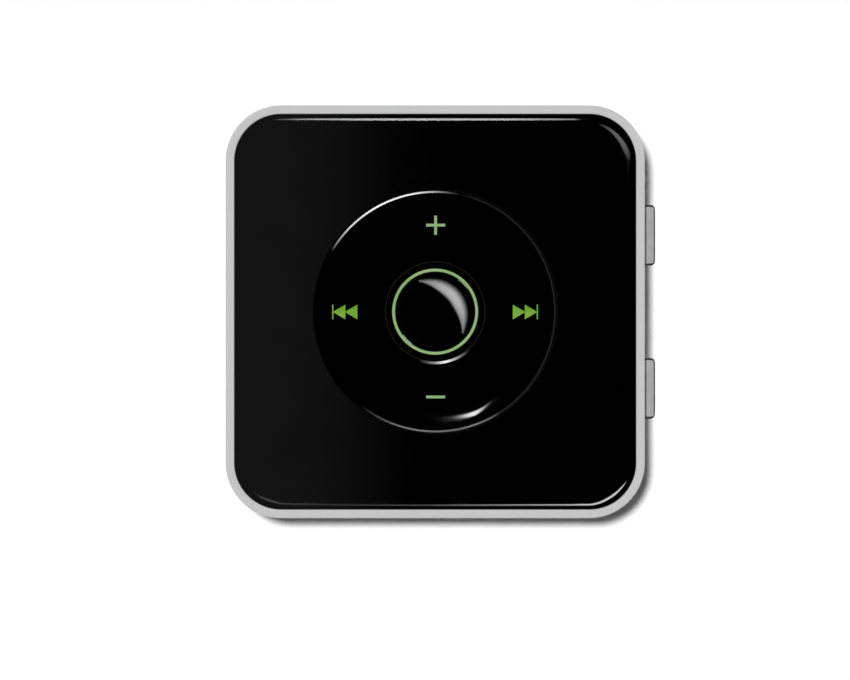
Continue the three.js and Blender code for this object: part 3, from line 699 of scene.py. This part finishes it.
def snap_domes():
    """Thin dished discs, each with a mesh of its own."""
    sheet, steps, flattened = 0.06, 10, 0.13
    presses = {
        "centre": "centre_button_press",
        "plus": "ring_tilt_plus_minus",
        "minus": "ring_tilt_plus_minus",
        "next": "ring_tilt_skip",
        "previous": "ring_tilt_skip",
    }
    shares = [1 - i / steps for i in range(steps + 1)]
    for kind, joint in presses.items():
        name = f"{kind}_snap_dome"
        spot, bottom, rise, radius = middle(name), low(name).z, size(name).z, size(name).x / 2
        over = [(radius * share, bottom + rise * (1 - share**2)) for share in shares]
        under = [(r * 0.94, max(z - sheet, bottom)) for r, z in reversed(over)]
        dome = add_piece(name, turn(revolve(over + under, 64), at=(spot.x, spot.y, 0)), "steel")
        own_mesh(dome)


# ---- centre button

def button_collar():
    """A tube with a foot, in which the button slides; the gimbal's pins reach into it."""
    bottom, top, soft = low("button_collar").z, 8.95, 0.05
    foot_radius, foot_top = 5.0, 5.85
    profile = [(foot_radius, bottom), (foot_radius, foot_top), (COLLAR_OUTER, foot_top)]
    profile += arc(COLLAR_OUTER - soft, top - soft, soft, soft, 0, 90, 4)
    profile += arc(COLLAR_INNER + soft, top - soft, soft, soft, 90, 180, 4)
    profile += [(COLLAR_INNER, bottom)]
    collar = combine(revolve(profile, 144), [pin_bore(5.3, ONTO_X)])
    add_piece("button_collar", collar, "gloss_black")


def light_ring():
    """A thin ring with a crowned top, on four legs that stand over the LEDs."""
    rise, ring_bottom, leg_top = 0.06, 7.85, 8.2
    centre = (LIGHT_INNER + LIGHT_OUTER) / 2
    half = (LIGHT_OUTER - LIGHT_INNER) / 2
    profile = [(LIGHT_INNER, ring_bottom), (LIGHT_OUTER, ring_bottom)]
    profile += arc(centre, LIGHT_TOP - rise, half, rise, 0, 180, 10)

    leg_width, sides = 0.8, 5
    outer, inner = LIGHT_OUTER - 0.01, LIGHT_INNER + 0.01
    half_turn = math.degrees(leg_width / 2 / centre)
    legs = []
    for quarter in QUARTERS:
        start, end = quarter + 45 - half_turn, quarter + 45 + half_turn
        outline = arc(0, 0, outer, outer, start, end, sides) + arc(0, 0, inner, inner, end, start, sides)
        legs.append(prism(outline, low("light_ring").z, leg_top))
    add_piece("light_ring", combine(revolve(profile, 144), legs, "UNION"), "green_light")


def centre_button():
    """A cap with a domed top inside a flat step, a stem over its snap dome, and four stop tabs."""
    bottom, skirt, ceiling, wall, stem, soft = low("centre_button").z, 7.35, 8.2, 2.9, 0.8, 0.04
    profile = [(0, bottom), (stem, bottom), (stem, ceiling), (wall, ceiling)]
    profile += [(wall, skirt), (BUTTON_RADIUS, skirt)]
    profile += arc(BUTTON_RADIUS - soft, LAND_Z - soft, soft, soft, 0, 90, 4)
    profile += [(BUTTON_DOME + 0.02, LAND_Z), (BUTTON_DOME, LAND_Z + 0.02)]
    curve_centre = LAND_Z + 0.1 - math.sqrt(DOME_CURVE**2 - BUTTON_DOME**2)
    rise = math.degrees(math.asin(BUTTON_DOME / DOME_CURVE))
    profile += arc(0, curve_centre, DOME_CURVE, DOME_CURVE, 90 - rise, 90, 20)

    tabs = []
    for quarter in QUARTERS:
        tab = rounded_bar(0.9, 1.4, 0.38, 0.15, 0.05, 3)
        tab = turn(tab, at=(BUTTON_RADIUS - 0.19, 0, skirt + 0.02))
        tabs.append(turn(tab, rotation("Z", quarter)))
    button = combine(revolve(profile, 144), tabs, "UNION")
    add_piece("centre_button", button, "gloss_black", "centre_button")


# ---- side keys

def key_cap(length, width, height):
    """A side key's cap: ends rounded off in plan, narrow soft edges and a nearly flat outer face."""
    end_round, edge, corner, crowned = 0.42, 0.13, 0.26, 0.04
    shoulder, crown_steps = height - crowned, 6
    stations = [((0, 0), 0)]
    for along, z in rounding(end_round, shoulder, 1, 10):
        depth = min(max((z - shoulder + edge) / edge, 0), 1)
        stations.append(((along, edge * (1 - math.sqrt(1 - depth * depth))), z))
    for i in range(1, crown_steps + 1):
        further = (width / 2 - edge) * i / 8
        z = height - crowned * (1 - i / crown_steps) ** 2
        stations.append(((end_round + further, edge + further), z))

    def outline(insets):
        along, across = insets
        round_off = max(corner - across, 0.05)
        return rounded_outline(length - 2 * along, width - 2 * across, round_off, 0, 8, 2)

    return stack(outline, stations)


def paint_edge_shade(mesh):
    """Paints shade on a key: the faces that turn a corner get the dark, barely reflecting edge material,
    in place of the shade on its steep sides.
    """
    mesh.materials.append(KEY_EDGE_SHADE)
    nearly_flat = 0.985
    for face in mesh.polygons:
        if max(abs(c) for c in face.normal) < nearly_flat:
            face.material_index = 1


def side_keys():
    """Each key is a cap through the band on a flange behind it. It stands a little proud of the CAD's."""
    proud = 0.1
    for name in SIDE_KEYS:
        spot, start, out = middle(name), low(name).x, high(name).x + proud
        way = rotation("Z", 90), ONTO_X
        cap = key_cap(CAP_LENGTH, CAP_DEPTH, out - start)
        cap = turn(cap, *way, at=(start, spot.y, spot.z))
        flange = rounded_bar(CAP_LENGTH + 0.9, CAP_DEPTH + 0.5, 0.6, 0.3, 0.05, 2)
        flange = turn(flange, *way, at=(start - 0.0005, spot.y, spot.z))
        key = add_piece(name, combine(cap, [flange], "UNION"), "key_grey", name)
        # The key's corner faces get the painted shade.
        paint_edge_shade(key.data)


# ---- screws and sockets

def screws():
    """Cross-head screws with a rounded head edge, a cross recess and a threaded shank."""
    for name in COVER_SCREWS:
        screw(name, 0.55, 0.7)
    for name in ("board_screw_1", "board_screw_2"):
        screw(name, 0.6, 0.6)


def screw(name, head_height, shank):
    """A screw with its head down, from the node's box, its head's height and its shank's radius."""
    spot, bottom, top = middle(name), low(name).z, high(name).z
    head, root, soft, pitch = size(name).x / 2, shank * 0.8, 0.12, 0.35
    neck = bottom + head_height
    profile = [(0, bottom), (head - soft, bottom)]
    profile += arc(head - soft, bottom + soft, soft, soft, -90, 0, 5)[1:]
    profile += [(head, neck), (root, neck)]
    for i in range(int((top - neck - 0.4) / pitch)):
        z = neck + 0.1 + i * pitch
        profile += [(root, z), (shank, z + pitch / 2)]
    profile += [(root, top - 0.25), (shank * 0.4, top), (0, top)]
    cross = [turn(cross_bar(head), rotation("Z", angle), at=(0, 0, bottom)) for angle in (0, 90)]
    made = combine(revolve(profile, 40), cross)
    add_piece(name, turn(made, at=(spot.x, spot.y, 0)), "steel")


def cross_bar(head):
    """One arm of a cross recess: a wedge that narrows as it goes into the head."""
    half, width, depth = head * 0.6, 0.15, 0.34
    corners = [(-half, -width), (half, -width), (half, width), (-half, width)]
    return stack(lambda share: [(x * share, y * share) for x, y in corners], [(1.12, -0.1), (0.6, depth)])


def headphone_jack():
    """A soft-edged block with a blind bore along Y."""
    name = "headphone_jack"
    spot, extent, back = middle(name), size(name), low(name).y
    radius, wall, beyond = 1.85, 0.6, 20
    bore = [(0, wall), (radius, wall), (radius, beyond), (0, beyond)]
    made = combine(rounded_bar(extent.x, extent.z, extent.y, 0.3, 0.15, 3), [revolve(bore, 48)])
    add_piece(name, turn(made, ONTO_Y, at=(spot.x, back, spot.z)), "black_plastic")


def jack_trim_ring():
    """A ring with a rounded mouth."""
    name = "jack_trim_ring"
    spot, outer, depth = middle(name), size(name).x / 2, size(name).y
    inner, soft, mouth = 1.8, 0.12, 0.25
    profile = [(inner, 0), (outer, 0)]
    profile += arc(outer - soft, depth - soft, soft, soft, 0, 90, 5)
    profile += arc(inner + mouth, depth - mouth, mouth, mouth, 90, 180, 6)
    ring = turn(revolve(profile, 96), ONTO_Y, at=(spot.x, low(name).y, spot.z))
    add_piece(name, ring, "steel")


def usb_outline(inset, steps=5):
    """The stepped outline of the USB shell, wide above and narrower below, with bent corners."""
    half = size("usb_shell").z / 2 - inset
    wide = size("usb_shell").x / 2 - inset
    narrow, shoulder, bend = wide - 0.55, -0.35, max(0.5 - inset, 0.2)
    corners = [(wide, shoulder), (wide, half), (-wide, half), (-wide, shoulder)]
    corners += [(-narrow, -half), (narrow, -half)]
    corners = [Vector(corner) for corner in corners]
    points = []
    for before, here, after in zip(corners[-1:] + corners, corners, corners[1:] + corners[:1]):
        start = here + (before - here).normalized() * bend
        end = here + (after - here).normalized() * bend
        for i in range(steps + 1):
            t = i / steps
            point = start * (1 - t) ** 2 + here * 2 * t * (1 - t) + end * t * t
            points.append((point.x, point.y))
    return points


def usb_reach(node):
    """How far from the middle of the player a node starts and ends, on the way out to the mouth."""
    return -high(node).y, -low(node).y


def usb_shell():
    """A bent steel shell with a softened lip, open at the mouth and closed at the back."""
    back, mouth = usb_reach("usb_shell")
    wall, soft = 0.3, 0.15
    lip = arc(wall / 2, mouth - soft, wall / 2, soft, 180, 0, 8)
    shell = stack(usb_outline, [(0.06, back), (0, back + 0.06), *lip, (wall, back + 0.5)])
    spot = middle("usb_shell")
    add_piece("usb_shell", turn(shell, ONTO_MINUS_Y, at=(spot.x, 0, spot.z)), "steel")


def usb_tongue():
    """A tongue with a tapered tip, on a wider root."""
    back, tip = usb_reach("usb_tongue")

    def block(width, height, rise, stations):
        def outline(inset):
            return [(x, y + rise) for x, y in rounded_outline(width, height, 0.12, inset, 4, 2)]
        return stack(outline, stations)

    tongue = block(4, 1.1, 0.7, [(0, back + 0.02), (0, tip - 0.45), (0.05, tip - 0.3), (0.22, tip)])
    root = block(6, 2.4, 0.1, [(0.05, back), (0, back + 0.05), (0, back + 1.15), (0.05, back + 1.2)])
    spot = middle("usb_shell")
    tongue = turn(combine(tongue, [root], "UNION"), ONTO_MINUS_Y, at=(spot.x, 0, spot.z))
    add_piece("usb_tongue", tongue, "black_plastic")


def usb_contacts():
    """Five strips under the tongue, joined at the back."""
    back, tip = usb_reach("usb_contacts")
    half, shoulder, pitch, strip, point = size("usb_contacts").x / 2, back + 0.5, 0.8, 0.17, 0.1
    comb = [(-half, shoulder), (-half, back), (half, back), (half, shoulder)]
    for x in (2 * pitch, pitch, 0, -pitch, -2 * pitch):
        comb += [(x + strip, shoulder), (x + strip, tip - 0.15), (x + point, tip)]
        comb += [(x - point, tip), (x - strip, tip - 0.15), (x - strip, shoulder)]
    centre = middle("usb_shell").x
    comb = [(centre + x, -out) for x, out in comb]
    add_piece("usb_contacts", prism(comb, low("usb_contacts").z, high("usb_contacts").z), "gold")


def carried_over():
    """Gives the CAD nodes their materials. Those that no fine piece replaces stay in the scene."""
    slots = {entry["node"]: entry["material_slot"] for entry in RECORD["subparts"]}
    for name, node in NODES.items():
        node.data.materials.clear()
        # The gimbal ring gets the near-black steel of painted shade.
        node.data.materials.append(GIMBAL_SHADE_STEEL if name == "gimbal_ring" else MATERIALS[slots[name]])


# ---- stage

def floor():
    """White paper under the player, which can be seen only from above."""
    half_metres, gap = 4.0, 0.02
    mesh = bpy.data.meshes.new("floor")
    corners = [(-half_metres, -half_metres, 0), (half_metres, -half_metres, 0)]
    corners += [(half_metres, half_metres, 0), (-half_metres, half_metres, 0)]
    mesh.from_pydata(corners, [], [(0, 1, 2, 3)])
    m = Surface("floor_paper").set(Roughness=0.9, Specular_IOR_Level=0.0)
    m.color(m.mix(m.noise(0.02, 3), (0.9, 0.9, 0.9), (0.92, 0.92, 0.92)))
    side = m.add("ShaderNodeMixShader")
    m.link(m.add("ShaderNodeNewGeometry").outputs["Backfacing"], side.inputs[0])
    m.link(m.surface.outputs[0], side.inputs[1])
    m.link(m.add("ShaderNodeBsdfTransparent").outputs[0], side.inputs[2])
    m.show(side.outputs[0])
    mesh.materials.append(m.material)
    ground = bpy.data.objects.new("floor", mesh)
    ground.location.z = -gap * MM
    bpy.context.scene.collection.objects.link(ground)


def direction(azimuth, polar):
    """A unit vector from an azimuth round Z and an angle from the zenith, in degrees."""
    a, p = math.radians(azimuth), math.radians(polar)
    return Vector((math.cos(a) * math.sin(p), math.sin(a) * math.sin(p), math.cos(p)))


def ease(start, end, value):
    """0 before start, 1 after end, smooth between; start may be the larger of the two."""
    t = min(max((value - start) / (end - start), 0.0), 1.0)
    return t * t * (3 - 2 * t)


CARD_DISTANCE = 1.5  # in metres
EVERYWHERE = (0, 0, -1, 1000)


def card(name, columns, only, zone=EVERYWHERE):
    """A studio card seen only in the reflections of one zone of the fine version of one node.

    The columns are lists of (direction, radiance) that make a grid. For the zone, see card_light.
    """
    bm = bmesh.new()
    shade = bm.verts.layers.float.new("glow")
    grid = []
    for column in columns:
        grid.append([])
        for toward, radiance in column:
            vert = bm.verts.new(toward * CARD_DISTANCE)
            vert[shade] = radiance
            grid[-1].append(vert)
    for first, second in zip(grid, grid[1:]):
        for j in range(len(first) - 1):
            bm.faces.new((first[j], second[j], second[j + 1], first[j + 1]))
    mesh = bpy.data.meshes.new(name)
    bm.to_mesh(mesh)
    bm.free()
    mesh.materials.append(card_light(name, zone))
    panel = bpy.data.objects.new(name, mesh)
    bpy.context.scene.collection.objects.link(panel)
    panel.visible_camera = panel.visible_diffuse = panel.visible_shadow = False
    panel.visible_transmission = panel.visible_volume_scatter = False
    group = bpy.data.collections.new(name + "_receivers")
    group.objects.link(bpy.data.objects["fine_" + only])
    panel.light_linking.receiver_collection = group


def streak(name, stations, only, zone, soft=0.15, per_station=8, across=8):
    """A curved card from stations of (azimuth, near polar, far polar, radiance).

    Over the share soft of its width it fades out at each side. It ends a step before the last
    station, where the radiance is 0.
    """
    columns = []
    for first, second in zip(stations, stations[1:]):
        for i in range(per_station):
            t = i / per_station
            azimuth, near, far, radiance = (a + (b - a) * t for a, b in zip(first, second))
            column = []
            for j in range(across + 1):
                v = j / across
                fade = ease(0, soft, v) * ease(1, 1 - soft, v) if soft else 1
                column.append((direction(azimuth, near + (far - near) * v), radiance * fade))
            columns.append(column)
    card(name, columns, only, zone)


def card_light(name, zone):
    """White light by the card's own brightness; what is behind a card shows through it.

    It falls only on points whose distance in plan from a rectangle round the middle is in a range.
    The zone is that rectangle's half width and half height, and the range's ends, in millimetres.
    """
    m = Surface(name)
    half_width, half_height, nearest, farthest = (length * MM for length in zone)
    geometry, path = m.add("ShaderNodeNewGeometry"), m.add("ShaderNodeLightPath")

    def vector_math(operation, first, second=None):
        node = m.add("ShaderNodeVectorMath", operation=operation)
        m.link(first, node.inputs[0])
        if isinstance(second, tuple):
            node.inputs[1].default_value = second
        elif second:
            m.link(second, node.inputs["Scale" if operation == "SCALE" else 1])
        return node.outputs["Value" if operation == "LENGTH" else "Vector"]

    way_back = vector_math("SCALE", geometry.outputs["Incoming"], path.outputs["Ray Length"])
    lit_point = vector_math("ABSOLUTE", vector_math("ADD", way_back, geometry.outputs["Position"]))
    above_all = 1.0
    outside = vector_math("SUBTRACT", lit_point, (half_width, half_height, above_all))
    reach = vector_math("LENGTH", vector_math("MAXIMUM", outside, (0.0, 0.0, 0.0)))
    far_enough, near_enough = m.math("GREATER_THAN", reach, nearest), m.math("LESS_THAN", reach, farthest)
    in_zone = m.math("MULTIPLY", far_enough, near_enough)
    glow = m.add("ShaderNodeAttribute", attribute_name="glow").outputs["Fac"]
    light, both = m.add("ShaderNodeEmission"), m.add("ShaderNodeAddShader")
    m.link(m.math("MULTIPLY", glow, in_zone), light.inputs["Strength"])
    m.link(light.outputs[0], both.inputs[0])
    m.link(m.add("ShaderNodeBsdfTransparent").outputs[0], both.inputs[1])
    m.show(both.outputs[0])
    m.tree.nodes.remove(m.surface)
    return m.material


def world():
    """White to the camera, dim all round as a light, and in reflections dark above a grey horizon."""
    horizon_top, horizon_grey, ambient = 0.46, 0.8, 0.05
    scene = bpy.context.scene
    scene.world = bpy.data.worlds.new("studio")
    scene.world.use_nodes = True
    w = Tree(scene.world.node_tree)
    w.tree.nodes.clear()
    ray = w.add("ShaderNodeLightPath").outputs
    split = w.add("ShaderNodeSeparateXYZ")
    w.link(w.add("ShaderNodeTexCoord").outputs["Generated"], split.inputs["Vector"])
    height = split.outputs["Z"]
    mirrored = w.spread(height, horizon_top, 0.0, 0.0, horizon_grey, interpolation_type="SMOOTHSTEP")
    glossy = w.math("MULTIPLY", ray["Is Glossy Ray"], mirrored)
    rest = w.math("SUBTRACT", 1.0, w.math("MAXIMUM", ray["Is Camera Ray"], ray["Is Glossy Ray"]))
    lit = w.math("ADD", ray["Is Camera Ray"], glossy)
    background = w.add("ShaderNodeBackground")
    background.inputs["Color"].default_value = (1, 1, 1, 1)
    w.link(w.math("ADD", lit, w.math("MULTIPLY", rest, ambient)), background.inputs["Strength"])
    w.link(background.outputs["Background"], w.add("ShaderNodeOutputWorld").inputs["Surface"])


def key_light():
    """A soft sun from the upper left, nearly overhead. The side keys cast no shadow in it."""
    data = bpy.data.lights.new("key", "SUN")
    data.energy, data.angle = 3.33, math.radians(6.2)
    lamp = bpy.data.objects.new("key", data)
    lamp.rotation_euler = direction(135, 8.4).to_track_quat("Z", "Y").to_euler()
    lamp.visible_glossy = False
    bpy.context.scene.collection.objects.link(lamp)
    blockers = bpy.data.collections.new("key_blockers")
    for name in SIDE_KEYS:
        blockers.objects.link(bpy.data.objects["fine_" + name])
    lamp.light_linking.blocker_collection = blockers
    for item in blockers.collection_objects:
        item.light_linking.link_state = "EXCLUDE"


def button_card():
    """The crescent on the upper right of the dome."""
    middle_azimuth, half_sweep, brightest, along, across = 40, 78, 11.6, 40, 10
    columns = []
    for i in range(along + 1):
        t = 2 * i / along - 1
        near, far = 21.0 + 21.5 * abs(t) ** 2.6, 40.5 + 3.5 * t * t
        column = []
        for j in range(across + 1):
            v = j / across
            fade = ease(0, 0.22, v) * ease(1, 0.5, v) * (0.65 + 0.35 * min(v / 0.45, 1))
            radiance = brightest * fade * (1 - 0.75 * abs(t) ** 2.2)
            toward = direction(middle_azimuth + half_sweep * t, near + (far - near) * v)
            column.append((toward, radiance))
        columns.append(column)
    card("button_card", columns, "centre_button", (0, 0, -1, BUTTON_DOME))


def rim_card():
    """Bright at the ring's upper left, grey below and faint on the right."""
    rim = [(-128, 0), (-120, 1), (-110, 3.4), (-100, 4.3), (-90, 3.8), (-80, 3.6), (-70, 4.5)]
    rim += [(-62, 3), (-57, 0.4), (60, 0.35), (70, 0.35), (78, 0), (82, 1), (86, 4), (90, 9)]
    rim += [(95, 15), (100, 21), (110, 23), (118, 25), (125, 22), (130, 18), (135, 16)]
    rim += [(140, 9.5), (145, 5), (149, 0)]
    stations = [(azimuth, 32, 52, radiance) for azimuth, radiance in rim]
    zone = (0, 0, RING_RADIUS - RIM_CROWN - 0.04, RING_RADIUS + 1)
    streak("rim_card", stations, "control_ring", zone, 0)


def lip_card():
    """The short highlight on the lip of the ring's hole, below the button."""
    lip = [(72, 0), (80, 1.6), (90, 7), (97, 18), (101, 24), (105, 20), (110, 12), (120, 3.6)]
    lip += [(128, 0.5), (133, 0)]
    stations = [(azimuth, 24.3, 34, radiance) for azimuth, radiance in lip]
    streak("lip_card", stations, "control_ring", (0, 0, RING_HOLE - 1, 5.1), 0)


def dish_card():
    """The highlight on the dish's sweep at the lower right, which faces the upper left."""
    dish = [(98, 7.4, 9.0, 0), (100, 8.2, 10.4, 0.8), (102, 8.6, 11.6, 4), (104.5, 9.0, 12.6, 13)]
    dish += [(107, 9.3, 13.8, 22), (110, 9.3, 14.2, 25), (113, 9.2, 13.2, 17), (117, 8.7, 11, 5)]
    dish += [(120, 7.6, 9.4, 0.7), (122, 6.2, 7.6, 0)]
    zone = (0, 0, DISH_EDGE + 0.02, RING_RADIUS - RIM_CROWN + 0.02)
    streak("dish_card", dish, "control_ring", zone, 0.25)


ROLLED_EDGE = (
    BODY_WIDTH / 2 - BODY_CORNER,
    BODY_HEIGHT / 2 - BODY_CORNER,
    BODY_CORNER - PANEL_INSET - PANEL_ROLL - 0.05,
    BODY_CORNER,
)


def top_card():
    """The line along the panel's top edge. Stations are (azimuth, width, radiance)."""
    polar = 36.5
    top = [(86.7, 3, 0), (86.9, 5, 3.5), (87.2, 7, 6.5), (88.2, 9.5, 11), (89.9, 10.6, 12.5)]
    top += [(91.7, 9.5, 11), (92.6, 7, 6.5), (92.9, 5.5, 4.5), (93.2, 5, 2.8), (94, 5, 1.7)]
    top += [(97, 4.5, 1.3), (100, 3.5, 0.5), (103, 3, 0)]
    stations = [(azimuth, polar - width / 2, polar + width / 2, glow) for azimuth, width, glow in top]
    streak("top_card", stations, "front_panel", ROLLED_EDGE)


def bottom_card():
    """The lines along the bottom edge and round its corners: (azimuth, polar, width, radiance)."""
    bottom = [(-136, 32.6, 4, 0), (-126, 30.8, 7, 0.5), (-118, 29, 8.7, 1.1), (-110, 28.6, 8.7, 1.5)]
    bottom += [(-102, 30.3, 8.7, 1.4), (-96, 33.4, 8, 1), (-92.5, 36.6, 7, 0.8), (-91.5, 40.4, 6.5, 0.6)]
    bottom += [(-89.9, 42.1, 6.5, 1.6), (-88.2, 40.6, 6.5, 7), (-87.4, 40.4, 6.5, 11)]
    bottom += [(-86.8, 39.8, 7.5, 13.5), (-80, 38.1, 8.7, 13.5), (-70, 35.6, 9.6, 14)]
    bottom += [(-60, 33.2, 10.5, 14), (-50, 33.2, 10.5, 14), (-40, 34.1, 7.4, 13), (-34, 35.6, 5.5, 11)]
    bottom += [(-29, 36.9, 4, 3), (-26, 37.6, 3, 0)]
    stations = []
    for azimuth, polar, width, radiance in bottom:
        stations.append((azimuth, polar - width / 2, polar + width / 2, radiance))
    streak("bottom_card", stations, "front_panel", ROLLED_EDGE)


def corner_card():
    """The faint highlight round the panel's upper right corner."""
    corner = [(4.4, 24, 36, 0), (6.5, 21.5, 37, 0.5), (12, 16.9, 38, 1.2), (20, 11.5, 36, 2.2)]
    corner += [(30, 9, 32, 2.9), (40, 9.2, 29.5, 2.9), (50, 11.5, 27.5, 2.6), (60, 14, 26.5, 1.7)]
    corner += [(70, 20, 24.5, 0.6), (75, 21.5, 23.5, 0)]
    streak("corner_card", corner, "front_panel", ROLLED_EDGE, 0.2)


def sheen_card():
    """A dim sheet over the left half, which lightens the panel's left side and fades in the middle."""
    radiance, fade_end, fade_columns, highest, half_rows = 0.155, 42, 14, 66, 16
    places = [-fade_end * i / fade_columns for i in range(fade_columns + 1)]
    places += [-60, -120, -250, -500, -900, -1350]
    columns = []
    for x in places:
        sine = x * MM / CARD_DISTANCE
        cosine = math.sqrt(1 - sine * sine)
        glow = radiance * ease(0, -fade_end, x)
        column = []
        for j in range(2 * half_rows + 1):
            tilt = math.radians(highest * (j / half_rows - 1))
            column.append((Vector((sine, cosine * math.sin(tilt), cosine * math.cos(tilt))), glow))
        columns.append(column)
    card("sheen_card", columns, "front_panel")


def camera():
    """Looks straight down on the face, from far enough that it shows no sides."""
    body_share, shift_x, shift_y = 0.4933, -0.97, -2.7
    data = bpy.data.cameras.new("camera")
    data.lens, data.sensor_width = 300, 36
    distance = BODY_WIDTH / body_share / data.sensor_width * data.lens
    view = bpy.data.objects.new("camera", data)
    view.location = Vector((shift_x, shift_y, BAND_TOP + distance)) * MM
    bpy.context.scene.collection.objects.link(view)
    bpy.context.scene.camera = view


carried_over()
rear_cover()
case_band()
front_panel()
control_ring()
marks()
snap_domes()
button_collar()
light_ring()
centre_button()
side_keys()
screws()
headphone_jack()
jack_trim_ring()
usb_shell()
usb_tongue()
usb_contacts()
floor()
world()
key_light()
button_card()
rim_card()
lip_card()
dish_card()
top_card()
bottom_card()
corner_card()
sheen_card()
camera()
bpy.context.scene.view_settings.view_transform = "Standard"
